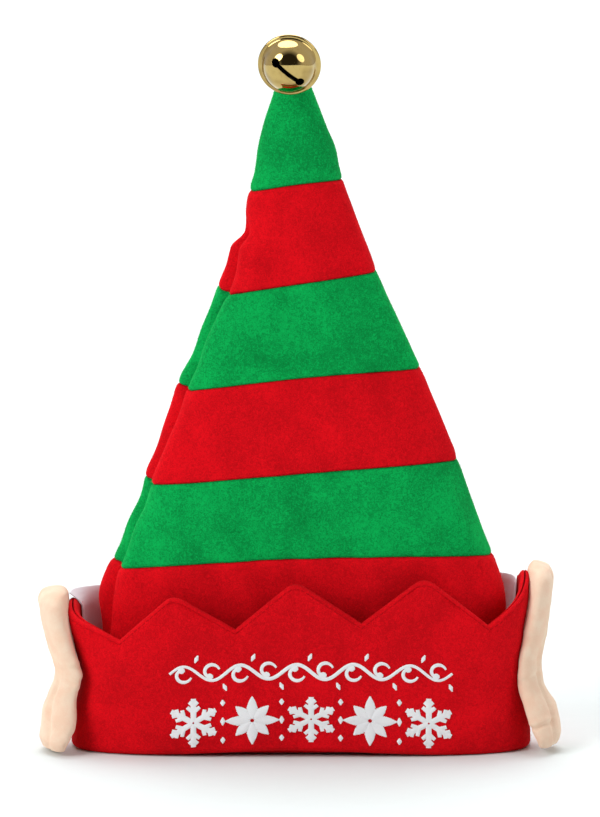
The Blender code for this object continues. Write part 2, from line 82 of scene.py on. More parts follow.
class Shader:
    """A material and the nodes that feed it."""

    def __init__(self, name, **constants):
        self.material = bpy.data.materials.new(name)
        self.material.use_nodes = True
        self.tree = self.material.node_tree
        self.principled = self.tree.nodes["Principled BSDF"]
        for socket, value in constants.items():
            self.principled.inputs[socket.replace("_", " ")].default_value = value

    def node(self, kind, settings=None, inputs=None, output=0):
        """A node of this type: settings first, then each socket's value or link."""
        made = self.tree.nodes.new(kind)
        for name, value in (settings or {}).items():
            setattr(made, name, value)
        for socket, value in (inputs or {}).items():
            if isinstance(value, Value):
                self.tree.links.new(value.output, made.inputs[socket])
            else:
                made.inputs[socket].default_value = value
        return Value(self, made.outputs[output])

    def place(self):
        """Where a point lies on the object, in metres."""
        return self.node("ShaderNodeTexCoord", output="Object")

    def noise(self, place, size, detail=2.0, roughness=0.5, distortion=0.0):
        """Smooth noise whose grains are about this many metres across."""
        inputs = {
            "Vector": place,
            "Scale": 1 / size,
            "Detail": detail,
            "Roughness": roughness,
            "Distortion": distortion,
        }
        return self.node("ShaderNodeTexNoise", {}, inputs)

    def between(self, value, low, high):
        """0 below low, 1 above high and smooth in between."""
        settings = {"interpolation_type": "SMOOTHSTEP"}
        return self.node("ShaderNodeMapRange", settings, {"Value": value, "From Min": low, "From Max": high})

    def blend(self, first, second, share):
        """A mix of two colours."""
        colours = {0: share, 6: first, 7: second}
        return self.node("ShaderNodeMix", {"data_type": "RGBA"}, colours, output=2)

    def bump(self, height, distance, strength=1.0):
        inputs = {"Height": height, "Distance": distance, "Strength": strength}
        return self.node("ShaderNodeBump", {}, inputs)

    def feed(self, **links):
        for socket, value in links.items():
            self.tree.links.new(value.output, self.principled.inputs[socket.replace("_", " ")])
        return self.material


def shade(colour, factor):
    """The same colour, lighter or darker, with its fourth number."""
    return (*(min(1.0, part * factor) for part in colour), 1.0)


# %% [markdown]
# ## Brushed felt
# The hat's felt is a knit whose face was brushed into a short nap. Close by it looks worm-eaten: tufts of
# fibre about a millimetre long lie in all directions, lighter where they stand up. From further off one sees
# soft blotches a finger wide, where hands have laid the nap over. Noise of three sizes gives both, and the
# same tufts drive the bump. Sheen on the shader is the light that grazing fibres catch.

# %% Felt
def felt_material(name, colour, glow, depth):
    felt = Shader(name, Roughness=0.95, Sheen_Weight=0.16, Sheen_Roughness=0.4, Sheen_Tint=(*glow, 1.0))
    felt.principled.inputs["Specular IOR Level"].default_value = 0.06
    place = felt.place()
    tufts = felt.noise(place, 0.0016, detail=3.0, roughness=0.62, distortion=1.4)
    fibres = felt.noise(place, 0.0006, detail=2.0, roughness=0.6)
    blotches = felt.noise(place, 0.016, detail=2.0)
    patches = felt.noise(place, 0.055)
    nap = tufts * 0.50 + fibres * 0.22 + blotches * 0.17 + patches * 0.19
    lit = felt.between(nap, 0.43, 0.66)
    body = felt.blend(shade(colour, depth), shade(colour, 1.18), lit)
    normal = felt.bump(tufts * 0.6 + fibres * 0.4, 0.0005, 0.75)
    return felt.feed(Base_Color=body, Normal=normal)


RED = (0.625, 0.0030, 0.0080)
GREEN = (0.0022, 0.360, 0.072)
red_felt = felt_material("red_brushed_felt", RED, (1.0, 0.10, 0.10), 0.78)
green_felt = felt_material("green_brushed_felt", GREEN, (0.16, 1.0, 0.35), 0.58)
print("felts:", red_felt.name, green_felt.name)

# %% [markdown]
# ## Ear plush
# The ears are peach plush with a very short, even pile. It shows almost no grain, only a faint cloudiness
# and a warmer, pinker tone in the hollows, where one looks along the fibres.

# %% Plush
PEACH = (0.770, 0.590, 0.450)
PINK = (0.790, 0.495, 0.350)


def plush_material():
    plush = Shader("peach_plush", Roughness=0.9, Sheen_Weight=0.22, Sheen_Roughness=0.4)
    plush.principled.inputs["Sheen Tint"].default_value = (1.0, 0.93, 0.86, 1.0)
    plush.principled.inputs["Specular IOR Level"].default_value = 0.15
    place = plush.place()
    pile = plush.noise(place, 0.0009, detail=2.0, roughness=0.6)
    clouds = plush.noise(place, 0.009, detail=3.0, roughness=0.55)
    warmth = plush.between(clouds * 0.75 + pile * 0.25, 0.36, 0.66)
    body = plush.blend((*PINK, 1.0), shade(PEACH, 1.06), warmth * 0.55 + 0.42)
    return plush.feed(Base_Color=body, Normal=plush.bump(pile * 0.6 + clouds * 0.4, 0.0004, 0.6))


ear_plush = plush_material()
print("plush:", ear_plush.name)

# %% [markdown]
# ## White sheet, thread and brass
# The stiffener is white plastic, coloured a lavender grey all over: painted shade and painted reflection of the
# red felt around it. The embroidery thread is bright rayon, which is glossier than the felt. The bell is
# pressed
# brass, polished and lacquered: what makes it read as metal is what it reflects, so its own outer surface only
# gets faint waves from the press and a few rubbed spots. Its inside is near-black, which is painted shade.

# %% Plastic, thread and brass
def plastic_material():
    plastic = Shader("white_sheet", Roughness=0.5, Coat_Roughness=0.4)
    place = plastic.place()
    shade_and_haze = plastic.noise(place, 0.03, detail=2.0)
    scuffs = plastic.noise(place, 0.0015, detail=4.0, roughness=0.7)
    # Both lavender greys are painted shade and painted reflection of the felt; the plastic itself is white, and
    # the noise varies how much
    body = plastic.blend((0.70, 0.67, 0.74, 1.0), (0.84, 0.82, 0.86, 1.0), shade_and_haze)
    return plastic.feed(Base_Color=body, Roughness=scuffs * 0.3 + 0.35, Normal=plastic.bump(shade_and_haze, 0.001, 0.2))


def thread_material(name, colour, low, gloss):
    thread = Shader(name, Sheen_Weight=0.4 * gloss, Sheen_Roughness=0.3)
    thread.principled.inputs["Specular IOR Level"].default_value = gloss
    place = thread.place()
    strands = thread.noise(place, 0.0005, detail=2.0)
    body = thread.blend(shade(colour, low), shade(colour, 1.0), strands)
    roughness = strands * 0.25 + (0.75 - 0.8 * gloss)
    return thread.feed(Base_Color=body, Roughness=roughness, Normal=thread.bump(strands, 0.00012, 0.6))


def brass_material():
    brass = Shader("polished_brass", Metallic=1.0, Coat_Weight=0.25, Coat_Roughness=0.03)
    place = brass.place()
    waves = brass.noise(place, 0.012, detail=1.0)
    tarnish = brass.between(brass.noise(place, 0.014, detail=2.0), 0.44, 0.62)
    rubs = brass.noise(place, 0.0012, detail=4.0, roughness=0.7, distortion=0.6)
    rubbed = brass.between(rubs, 0.56, 0.74)
    clean = brass.blend((0.52, 0.365, 0.125, 1.0), (0.36, 0.24, 0.075, 1.0), tarnish)
    body = brass.blend(clean, (0.36, 0.235, 0.065, 1.0), rubbed)
    return brass.feed(Base_Color=body, Roughness=rubbed * 0.10 + 0.055, Normal=brass.bump(waves, 0.0004, 0.25))


# Near-black brass for the inside of the bell: painted shade, so that the slot looks dark
def inner_brass_shade_material():
    shaded_inside = Shader("inner_brass_painted_shade", Metallic=0.6)
    mottle = shaded_inside.noise(shaded_inside.place(), 0.003, detail=3.0)
    body = shaded_inside.blend((0.010, 0.007, 0.004, 1.0), (0.030, 0.020, 0.010, 1.0), mottle)
    return shaded_inside.feed(Base_Color=body, Roughness=mottle * 0.2 + 0.6)


def steel_material():
    steel = Shader("rolled_steel", Metallic=1.0)
    spots = steel.noise(steel.place(), 0.002, detail=3.0)
    body = steel.blend((0.42, 0.42, 0.43, 1.0), (0.60, 0.60, 0.61, 1.0), spots)
    return steel.feed(Base_Color=body, Roughness=spots * 0.3 + 0.2)


white_sheet = plastic_material()
white_thread = thread_material("white_rayon", (0.92, 0.92, 0.94), 0.88, 0.5)
red_thread = thread_material("red_cotton", (0.47, 0.003, 0.007), 0.7, 0.05)
brass = brass_material()
painted_shade_brass = inner_brass_shade_material()
steel = steel_material()

# %% [markdown]
# ## Meshes from rows of points
# Nearly every piece here is a skin through rows of points that a formula gives. A helper gathers such grids,
# joins each pair of rows with quads and hands the arrays to Blender at once, which is far quicker than
# adding faces one by one. Pieces ride on the frame's body and stand for the solids that they dress.

# %% Gathering grids into a mesh
def placed(name, data):
    """A new object in the scene."""
    made = bpy.data.objects.new(name, data)
    bpy.context.scene.collection.objects.link(made)
    return made


class Skin:
    """Points and faces of one piece, gathered grid by grid."""

    def __init__(self):
        self.points = []
        self.faces = []
        self.count = 0

    def grid(self, rows, closed=True):
        """Quads between rows of points, as an array of rows, columns and coordinates. They face the side from
        which columns run to the right as rows run up."""
        rows = np.asarray(rows, dtype=float)
        index = self.count + np.arange(rows.shape[0] * rows.shape[1]).reshape(rows.shape[:2])
        left = index if closed else index[:, :-1]
        right = np.roll(index, -1, axis=1) if closed else index[:, 1:]
        quads = np.stack([left[:-1], right[:-1], right[1:], left[1:]], axis=-1).reshape(-1, 4)
        self.points.append(rows.reshape(-1, 3))
        self.faces.append(quads)
        self.count += index.size
        return index

    def strips(self, points):
        """Quads on many open grids at once, as an array of grids, rows, columns and coordinates. They face the
        other way than those of grid."""
        index = self.count + np.arange(points[..., 0].size).reshape(points.shape[:3])
        low, high = index[:, :-1], index[:, 1:]
        quads = np.stack([low[..., :-1], high[..., :-1], high[..., 1:], low[..., 1:]], axis=-1)
        self.points.append(points.reshape(-1, 3))
        self.faces.append(quads.reshape(-1, 4))
        self.count += index.size

    def lid(self, ring, middle):
        """Triangles from a closed ring of point numbers to one more point."""
        ring = np.asarray(ring)
        self.points.append(np.asarray(middle, dtype=float).reshape(1, 3))
        centre = np.full(ring.shape, self.count)
        self.faces.append(np.stack([ring, np.roll(ring, -1), centre], axis=-1))
        self.count += 1

    def piece(self, name, finish, slot, *nodes):
        """The mesh as an object on the hat, with its finish, in place of these solids."""
        points = np.concatenate(self.points).astype(np.float32)
        corners = np.concatenate([face.ravel() for face in self.faces]).astype(np.int32)
        totals = np.concatenate([np.full(len(face), face.shape[1]) for face in self.faces]).astype(np.int32)
        starts = np.concatenate([[0], np.cumsum(totals)[:-1]]).astype(np.int32)
        mesh = bpy.data.meshes.new(name)
        mesh.vertices.add(len(points))
        mesh.vertices.foreach_set("co", points.ravel())
        mesh.loops.add(len(corners))
        mesh.loops.foreach_set("vertex_index", corners)
        mesh.polygons.add(len(totals))
        mesh.polygons.foreach_set("loop_start", starts)
        mesh.polygons.foreach_set("loop_total", totals)
        mesh.update(calc_edges=True)
        mesh.validate()
        mesh.shade_smooth()
        return dress(placed(name, mesh), finish, slot, *nodes)


def dress(made, finish, slot, *nodes):
    """Gives an object its finish and its place on the hat."""
    made.data.materials.clear()
    made.data.materials.append(finish)
    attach(made, "root")
    if nodes:
        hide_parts(*nodes)
    triangles = sum(len(face.vertices) - 2 for face in made.data.polygons)
    print(f"{made.name}: {triangles} triangles")
    return made


def outward(rows):
    """Unit normals of a closed grid of points, on the side that Skin.grid faces."""
    along = np.roll(rows, -1, axis=1) - np.roll(rows, 1, axis=1)
    up = np.gradient(rows, axis=0)
    normal = np.cross(along, up)
    return normal / np.maximum(np.linalg.norm(normal, axis=-1, keepdims=True), 1e-12)


# %% [markdown]
# ## Small formulas
# Tables of sections describe the hat, and a smooth curve without overshoot runs through each column. A sum
# of many faint waves in random directions makes an even, soft unevenness, the sort that handled cloth has.
# The random numbers are seeded, so the hat comes out the same each time.

# %% Curves and ripples
def table_value(rows, column, at):
    """A smooth curve through one column of a table whose first column is the place. at may be an array."""
    places = np.array([row[0] for row in rows], dtype=float)
    values = np.array([row[column] for row in rows], dtype=float)
    slopes = np.diff(values) / np.diff(places)
    tangents = np.zeros(len(rows))
    tangents[0], tangents[-1] = slopes[0], slopes[-1]
    before, after = slopes[:-1], slopes[1:]
    same = before * after > 0
    total = np.where(same, before + after, 1.0)
    tangents[1:-1] = np.where(same, 2 * before * after / total, 0.0)
    at = np.clip(at, places[0], places[-1])
    k = np.clip(np.searchsorted(places, at, side="right") - 1, 0, len(rows) - 2)
    step = places[k + 1] - places[k]
    share = (at - places[k]) / step
    rise = values[k + 1] - values[k]
    start_bend = tangents[k] * step - rise
    end_bend = rise - tangents[k + 1] * step
    return values[k] + rise * share + share * (1 - share) * (start_bend * (1 - share) + end_bend * share)


def smooth_step(value, start, end):
    share = np.clip((value - start) / (end - start), 0, 1)
    return share * share * (3 - 2 * share)


def hump(value, middle, spread):
    """A soft bump, 1 at the middle."""
    return np.exp(-(((value - middle) / spread) ** 2))


def ripple(points, length, seed, waves=14):
    """A soft random field, about -1 to 1, whose waves are about this long."""
    chance = np.random.default_rng(seed)
    total = 0
    for _ in range(waves):
        way = chance.normal(size=3)
        way *= math.tau / length * chance.uniform(0.6, 1.4) / np.linalg.norm(way)
        total = total + np.sin(points @ way + chance.uniform(0, math.tau))
    return total / math.sqrt(waves) * 1.2


def oval(angles, half_width, half_depth, power):
    """Points of an oval at these angles from +X. power 2 is an ellipse, and more is blunter."""
    across, along = np.cos(angles), np.sin(angles)
    x = half_width * np.sign(across) * np.abs(across) ** (2 / power)
    y = half_depth * np.sign(along) * np.abs(along) ** (2 / power)
    return x, y


# %% [markdown]
# ## The crown's shape
# The cone leans a little, and on its left it lies in two folds, one behind the other, with a deep crease
# between. Its sections are ovals, blunter on the left, and the fold pushes their left side out and in. The
# columns of points crowd together where the outline bends, so the folds stay crisp.

# %% The crown's sections
FELT = 0.0020
OPENING_HALF_WIDTH = 0.1295
OPENING_HALF_DEPTH = 0.0350
CROWN_HEIGHT = 0.4155
HEM_HALF_WIDTH = OPENING_HALF_WIDTH + FELT
HEM_HALF_DEPTH = OPENING_HALF_DEPTH + FELT
LOBE_STEP = 0.0058
CREASE_DEPTH = 0.0100
CREASE_PLACE = -0.12
CREASE_SPREAD = 0.13
NEAR_FOLD = (0.55, 0.88)  # shares of the half width over which the folds set in
CROWN_SECTIONS = (
    # height, left, right, depth, fold, round_left, round_right
    (0.000, 1.000, 1.000, 1.00, 0.00, 3.2, 3.2),
    (0.021, 0.998, 0.998, 0.99, 0.00, 3.2, 3.2),
    (0.100, 0.954, 0.960, 0.92, 0.30, 3.2, 3.1),
    (0.201, 0.940, 0.953, 0.84, 0.85, 3.4, 2.8),
    (0.307, 0.822, 0.854, 0.77, 0.95, 3.8, 2.4),
    (0.448, 0.649, 0.680, 0.68, 0.95, 3.8, 2.2),
    (0.588, 0.482, 0.487, 0.59, 1.00, 3.8, 2.2),
    (0.692, 0.350, 0.336, 0.51, 0.90, 3.4, 2.2),
    (0.726, 0.327, 0.300, 0.48, 0.85, 3.0, 2.2),
    (0.748, 0.264, 0.271, 0.46, 0.35, 2.6, 2.2),
    (0.778, 0.250, 0.231, 0.43, 0.00, 2.2, 2.2),
    (0.830, 0.203, 0.168, 0.40, 0.00, 2.2, 2.2),
    (0.864, 0.196, 0.154, 0.36, 0.00, 2.2, 2.2),
    (0.898, 0.173, 0.113, 0.30, 0.00, 2.2, 2.2),
    (0.942, 0.132, 0.060, 0.23, 0.00, 2.2, 2.2),
    (0.967, 0.108, 0.030, 0.19, 0.00, 2.2, 2.2),
    (0.988, 0.090, 0.008, 0.15, 0.00, 2.2, 2.2),
    (1.000, 0.074, -0.010, 0.12, 0.00, 2.2, 2.2),
)
REAR_FOLD_RISE = 0.0115
STRIPE_SEAMS = (
    # left, middle, right, back_rise
    (0.2520, 0.2810, 0.2809, 0.016),
    (0.3750, 0.4022, 0.4187, 0.016),
    (0.5090, 0.5388, 0.5513, 0.016),
    (0.6510, 0.6730, 0.6903, 0.018),
    (0.8020, 0.8157, 0.8218, 0.010),
)
QUARTER_COLUMNS = (118, 92, 66, 76)  # front left, back left, back right, front right
CROWN_LEVELS = 301


def evenly(points, count, corner_weight):
    """count points along a run of points, closer together where it bends; the last one is left out."""
    steps = np.diff(points, axis=0)
    length = np.hypot(*steps.T)
    heading = np.unwrap(np.arctan2(steps[:, 1], steps[:, 0]))
    turning = np.abs(np.diff(heading, prepend=heading[0]))
    measure = np.concatenate([[0], np.cumsum(length + corner_weight * turning)])
    at = np.linspace(0, measure[-1], count + 1)[:-1]
    return np.stack([np.interp(at, measure, points[:, k]) for k in (0, 1)], axis=1)


def crown_outline(share):
    """The crown's outline at a share of its height, from the front centre round by the right."""
    left, right, depth, fold, round_left, round_right = (
        float(table_value(CROWN_SECTIONS, column, share)) for column in range(1, 7)
    )
    middle = (right - left) / 2 * HEM_HALF_WIDTH
    half_width = (right + left) / 2 * HEM_HALF_WIDTH
    half_depth = depth * HEM_HALF_DEPTH
    quarters = []
    for quarter, count in enumerate(QUARTER_COLUMNS):
        angles = -math.pi / 2 - (quarter + np.linspace(0, 1, 700)) * math.pi / 2
        x, y = oval(angles, half_width, half_depth, round_left if quarter < 2 else round_right)
        near_fold = smooth_step(-x / half_width, *NEAR_FOLD)
        from_crease = (y / half_depth - CREASE_PLACE) / CREASE_SPREAD
        lobe = LOBE_STEP * smooth_step(-from_crease, -0.8, 1.4)
        crease = CREASE_DEPTH * np.exp(-(np.abs(from_crease) ** 1.5))
        x = x + fold * near_fold * (lobe + crease) + middle
        quarters.append(evenly(np.stack([x, y], axis=1), count, half_depth * 0.45))
    return np.roll(np.concatenate(quarters)[::-1], 1, axis=0)


crown_outlines = np.stack([crown_outline(share) for share in np.linspace(0, 1, CROWN_LEVELS)])
print("crown outlines:", crown_outlines.shape)


def crown_points(heights):
    """Points of the crown for an array of heights, one column for each column of the outline."""
    level = np.clip(heights / CROWN_HEIGHT, 0, 1) * (CROWN_LEVELS - 1)
    low = np.clip(level.astype(int), 0, CROWN_LEVELS - 2)
    part = (level - low)[..., None]
    column = np.arange(heights.shape[1])[None, :]
    flat = crown_outlines[low, column] * (1 - part) + crown_outlines[low + 1, column] * part
    return np.concatenate([flat, heights[..., None]], axis=-1)


def seam_heights(left, middle, right, back_rise):
    """A seam's height at each column: a gentle bow across the front that runs higher at the back."""
    outline = crown_outlines[int(round(middle * (CROWN_LEVELS - 1)))]
    from_centre = outline[:, 0] - outline[:, 0].mean()
    across = from_centre / np.abs(from_centre).max()
    back = np.maximum(outline[:, 1] / outline[:, 1].max(), 0)
    front = middle + across * (right - left) / 2 + across**2 * ((right + left) / 2 - middle)
    folded = float(table_value(CROWN_SECTIONS, 4, middle))
    behind = smooth_step(outline[:, 1] / outline[:, 1].max(), CREASE_PLACE, CREASE_PLACE + CREASE_SPREAD)
    rear_fold = REAR_FOLD_RISE * folded * smooth_step(-across, *NEAR_FOLD) * behind * (1 - back)
    return (front + back * back_rise + rear_fold) * CROWN_HEIGHT


# %% [markdown]
# ## Stripes and their seams
# Each band is sewn to the next with the raw edges turned in, so the felt rolls into the seam over about two
# millimetres and swells a little beside it. The stitches draw up small puckers that fade within a
# centimetre. A subdivided cone with a bump map would show none of this at its outline, so the rows of the
# mesh crowd at the seams and the roll is real.

# %% Sewing the stripes
SEAM_ROLL = 0.0016
SLANT = np.array([(1.0, 0.0, 0.6), (0.0, 1.0, 0.0), (0.3, 0.0, 0.45)])  # folds run longer one way
POCKET_DEPTH = 0.0034  # the crown sinks in a little behind the cuff's teeth
POCKET_HEIGHT = 0.074
POCKET_REACH = 0.019
SEAM_ROWS = (0.0, 0.0002, 0.0005, 0.0009, 0.0014, 0.0021, 0.0031, 0.0044, 0.0062)
ROW_STEP = 0.0023
TURNED_IN = 0.0016  # how far a raw edge is turned in at a seam
SEAM_PUCKER = 0.00035
PUCKER_REACH = 0.005
INNER_DEPTH = FELT + 0.0004  # from the outer face to the inner one
INNER_STAND = 0.0008  # the most of a swelling that the inner face follows
TIP_RINGS = ((0.86, 0.0010), (0.60, 0.0018), (0.30, 0.0022))  # spread and rise
TIP_RISE = 0.0023
HEM_DROP = 0.0006


def sewn_edge(distance):
    """How far the felt stands out at this distance from a seam: a roll into the seam and a swelling."""
    inside = np.clip(SEAM_ROLL - distance, 0, SEAM_ROLL)
    roll = SEAM_ROLL - np.sqrt(SEAM_ROLL**2 - inside**2)
    swell = 0.0006 * (distance / 0.0045) * np.exp(1 - distance / 0.0045)
    return swell - roll


def crown_unevenness(points):
    """The slack of felt that only stands by its own stiffness."""
    slack = 1 - 0.75 * points[..., 2] / CROWN_HEIGHT
    slanted = points @ SLANT
    return slack * (0.0011 * ripple(points, 0.085, 1) + 0.0012 * ripple(slanted, 0.034, 2))


def stripe_skin(low, high, first, last):
    """The felt of one stripe, from its lower seam to its upper one."""
    height = float(np.mean(high - low))
    middle = np.linspace(SEAM_ROWS[-1], height - SEAM_ROWS[-1], max(3, int(height / ROW_STEP)))[1:-1]
    shares = np.concatenate([SEAM_ROWS, middle, height - np.array(SEAM_ROWS[::-1])]) / height
    heights = low + shares[:, None] * (high - low)
    points = crown_points(heights)
    normals = outward(points)
    below, above = heights - low, high - heights
    pucker = ripple(points, 0.010, 3)
    stand = crown_unevenness(points) - POCKET_DEPTH * hump(points[..., 2], POCKET_HEIGHT, POCKET_REACH)
    for distance, sewn in ((below, not first), (above, not last)):
        if sewn:
            stand = stand + sewn_edge(distance) + SEAM_PUCKER * pucker * np.exp(-distance / PUCKER_REACH)
    outside = points + normals * stand[..., None]
    rows = [outside]
    if not first:
        rows.insert(0, (outside[0] - normals[0] * TURNED_IN)[None])
    if not last:
        rows.append((outside[-1] - normals[-1] * TURNED_IN)[None])
    skin = Skin()
    skin.grid(np.concatenate(rows))
    inner = (points + normals * (np.minimum(stand, INNER_STAND) - INNER_DEPTH)[..., None])[::4]
    if last:
        ring = outside[-1]
        tip = ring.mean(axis=0)
        for spread, rise in TIP_RINGS:
            under, ring = ring, tip + (outside[-1] - tip) * spread + np.array([0, 0, rise])
            index = skin.grid(np.stack([under, ring]))
        skin.lid(index[-1], tip + np.array([0, 0, TIP_RISE]))
    if first:
        skin.grid(np.stack([inner[0], points[0] - np.array([0, 0, HEM_DROP]), outside[0]]))
    skin.grid(inner[:, ::-1])
    return skin


stripe_edges = [np.full(crown_outlines.shape[1], FELT + 0.0003)]
stripe_edges += [seam_heights(*seam) for seam in STRIPE_SEAMS]
stripe_edges += [np.full(crown_outlines.shape[1], CROWN_HEIGHT)]
stripes = []
for number, (low, high) in enumerate(zip(stripe_edges, stripe_edges[1:])):
    skin = stripe_skin(low, high, number == 0, number == len(STRIPE_SEAMS))
    node = f"crown_stripe_{number + 1}"
    finish, slot = ((red_felt, "red_felt"), (green_felt, "green_felt"))[number % 2]
    stripes.append(skin.piece(f"felt_stripe_{number + 1}", finish, slot, node))

# %% [markdown]
# ## The cuff's shape
# The cuff is a band round the hem whose top edge runs in eight teeth. Its outline is the same oval at each
# height, a little wider or narrower, and every point on it is named by its place: the share of the way
# round from the front centre by the right. A table of outlines, read between its rows, turns place, depth
# under the surface and height into a point, for a whole grid at once.

# %% A point on the cuff
STIFFENER = 0.0007
SEAM_GAP = 0.0003
HEM_CLEARANCE = 0.0024
CUFF_HEIGHT = 0.1070
CUFF_ROUNDNESS = 3.2
TIP_CURL = 0.0028
CUFF_PROFILE = (
    # height, side, front
    (0.00, 0.000, 0.000),
    (0.14, -0.010, 0.012),
    (0.38, -0.045, 0.022),
    (0.61, -0.035, 0.030),
    (1.00, 0.012, 0.024),
)
ZIGZAG = (
    # tip_at, tip_height, valley_at, valley_height, blunt
    (-0.005, 0.981, 0.055, 0.763, 0.16),
    (0.110, 1.000, 0.174, 0.736, 0.16),
    (0.249, 0.988, 0.323, 0.750, 0.25),
    (0.381, 0.985, 0.441, 0.735, 0.20),
    (0.500, 0.960, 0.559, 0.715, 0.20),
    (0.619, 0.920, 0.677, 0.690, 0.20),
    (0.750, 0.827, 0.831, 0.654, 0.25),
    (0.885, 0.904, 0.940, 0.730, 0.16),
)
CUFF_PLACES = 2048
CUFF_LEVELS = 120
CUFF_SPAN = (-0.002, 0.116)  # the heights between which the table of outlines runs


def cuff_outline(height):
    """Rows of x, y and the outward normal at even places round the cuff's outer face, and its length."""
    share = height / CUFF_HEIGHT
    outside = HEM_CLEARANCE + 2 * FELT + STIFFENER + 2 * SEAM_GAP
    half_width = HEM_HALF_WIDTH + outside + float(table_value(CUFF_PROFILE, 1, share)) * CUFF_HEIGHT
    half_depth = HEM_HALF_DEPTH + outside + float(table_value(CUFF_PROFILE, 2, share)) * CUFF_HEIGHT
    angles = np.linspace(-math.pi / 2, 1.5 * math.pi, 2881)
    x, y = oval(angles, half_width, half_depth, CUFF_ROUNDNESS)
    way = np.concatenate([[0], np.cumsum(np.hypot(np.diff(x), np.diff(y)))])
    even = np.linspace(0, 1, CUFF_PLACES + 1) * way[-1]
    normal = np.stack([np.gradient(y), -np.gradient(x)], axis=1)
    normal /= np.linalg.norm(normal, axis=1, keepdims=True)
    columns = [np.interp(even, way, values) for values in (x, y, normal[:, 0], normal[:, 1])]
    return np.stack(columns, axis=1), float(way[-1])


cuff_heights = np.linspace(*CUFF_SPAN, CUFF_LEVELS)
cuff_outlines, cuff_lengths = zip(*[cuff_outline(max(0.0, height)) for height in cuff_heights])
cuff_outlines = np.stack(cuff_outlines)


def cuff_points(places, inset, heights):
    """Points this far inside the cuff's outer face, and their outward normals."""
    places, inset, heights = np.broadcast_arrays(places, inset, heights)
    level = (heights - cuff_heights[0]) / (cuff_heights[1] - cuff_heights[0])
    level = np.clip(level, 0, CUFF_LEVELS - 1.001)
    column = (places % 1) * CUFF_PLACES
    low, left = level.astype(int), np.minimum(column.astype(int), CUFF_PLACES - 1)
    up, across = (level - low)[..., None], (column - left)[..., None]
    below = cuff_outlines[low, left] * (1 - across) + cuff_outlines[low, left + 1] * across
    above = cuff_outlines[low + 1, left] * (1 - across) + cuff_outlines[low + 1, left + 1] * across
    found = below * (1 - up) + above * up
    out = found[..., 2:] / np.linalg.norm(found[..., 2:], axis=-1, keepdims=True)
    curl_start = CUFF_PROFILE[-2][0]
    above_curl = np.maximum(0, heights / CUFF_HEIGHT - curl_start) / (1 - curl_start)
    sideways = np.maximum(0, np.abs(out[..., 0]) - 0.5) / 0.5
    flat = found[..., :2] - out * (inset + TIP_CURL * above_curl * sideways)[..., None]
    normal = np.concatenate([out, np.zeros_like(out[..., :1])], axis=-1)
    return np.concatenate([flat, heights[..., None]], axis=-1), normal


def edge_columns(per_slope):
    """Places round the cuff and the height of its edge there, with a column at each tip and valley."""
    corners = []
    for tip_at, tip_height, valley_at, valley_height, blunt in ZIGZAG:
        corners += [(tip_at, tip_height, blunt), (valley_at, valley_height, blunt)]
    corners.append((corners[0][0] + 1, *corners[0][1:]))
    places, edges = [], []
    for number, (start, end) in enumerate(zip(corners, corners[1:])):
        falling = number % 2 == 0
        tip, valley = (start, end) if falling else (end, start)
        share = np.arange(per_slope) / per_slope
        down = share if falling else 1 - share
        blunt = tip[2]
        drop = np.where(down < blunt, down**2 / (2 * blunt), down - blunt / 2) / (1 - blunt / 2)
        places.append(start[0] + share * (end[0] - start[0]))
        edges.append((tip[1] + (valley[1] - tip[1]) * drop) * CUFF_HEIGHT)
    return np.concatenate(places), np.concatenate(edges)


cuff_places, cuff_edges = edge_columns(26)
print("cuff columns:", len(cuff_places), "length round the rim in mm:", round(1000 * cuff_lengths[2], 1))

# %% [markdown]
# ## Two layers and a rolled edge
# The cuff was sewn inside out along the zigzag and turned, so its edge is a fat soft roll with a topstitched
# groove just under it. Solidify would give a sharp, even wall. Here the outer layer's rows climb the face,
# dip into the groove, go over the roll and end in the slot between the layers, and the facing mirrors that
# on the inside. Puckers run from the groove, and strain lines fan out under each valley.

# %% The cuff's layers
ROLL = 0.00265
SLOT_HALF = 0.00045
RIM_RADIUS = 0.0036
GROOVE_BELOW = 0.0028
GROOVE_DEPTH = 0.00022
GROOVE_HALF = 0.0006
BODY_TOP = 0.052
EDGE_OFFSETS = (
    0.0115, 0.0100, 0.0086, 0.0074, 0.0064, 0.0056, 0.0050,
    0.0045, 0.0040, 0.0036, 0.0033, 0.0030, 0.00275,
)
ROLL_ANGLES = (8, 22, 38, 54, 70, 84)
SLOT_DROPS = (0.0006, 0.0030, 0.0110)
RIM_ANGLES = (0, 15, 30, 45, 60, 75)
FACING_FOOT = 0.0023
FOOT_TOP = 0.0021
CUFF_THICKNESS = 2 * ROLL
RIM_ARCH = 0.0038
SIDE_BULGE = 0.0046
LEFT_SIDE = (0.118, 0.134)  # metres to the left over which the cuff's side sets in
FOOT_DEPTH = CUFF_THICKNESS + HEM_CLEARANCE + FELT


def cuff_wall_heights(low):
    """Heights of the rows from low up to the start of the roll, for each column."""
    body = np.linspace(low, BODY_TOP, 28)[:, None] + np.zeros_like(cuff_edges)[None]
    shares = np.linspace(0, 1, 26)[1:-1, None]
    teeth = BODY_TOP + shares * (cuff_edges - EDGE_OFFSETS[0] - BODY_TOP)
    near = cuff_edges[None] - np.array(EDGE_OFFSETS)[:, None]
    return np.concatenate([body, teeth, near])


def cuff_stand(points, below_edge):
    """How far the felt of the cuff stands out, by its place and how far it lies below the edge."""
    groove = -GROOVE_DEPTH * hump(below_edge, GROOVE_BELOW, GROOVE_HALF)
    swell = 0.0006 * np.exp(-(((below_edge - 0.0095) / 0.006) ** 2))
    pucker = 0.0004 * ripple(points, 0.008, 11) * np.exp(-np.abs(below_edge - GROOVE_BELOW) / 0.004)
    slack = 0.0008 * ripple(points, 0.060, 12) + 0.0003 * ripple(points, 0.024, 13)
    return groove + swell + pucker + slack * smooth_step(points[..., 2], 0.0, 0.02)


def edge_at(places):
    """The height of the zigzag edge at any place."""
    around = np.concatenate([cuff_places - 1, cuff_places, cuff_places + 1])
    return np.interp((places + 0.5) % 1 - 0.5, around, np.tile(cuff_edges, 3))


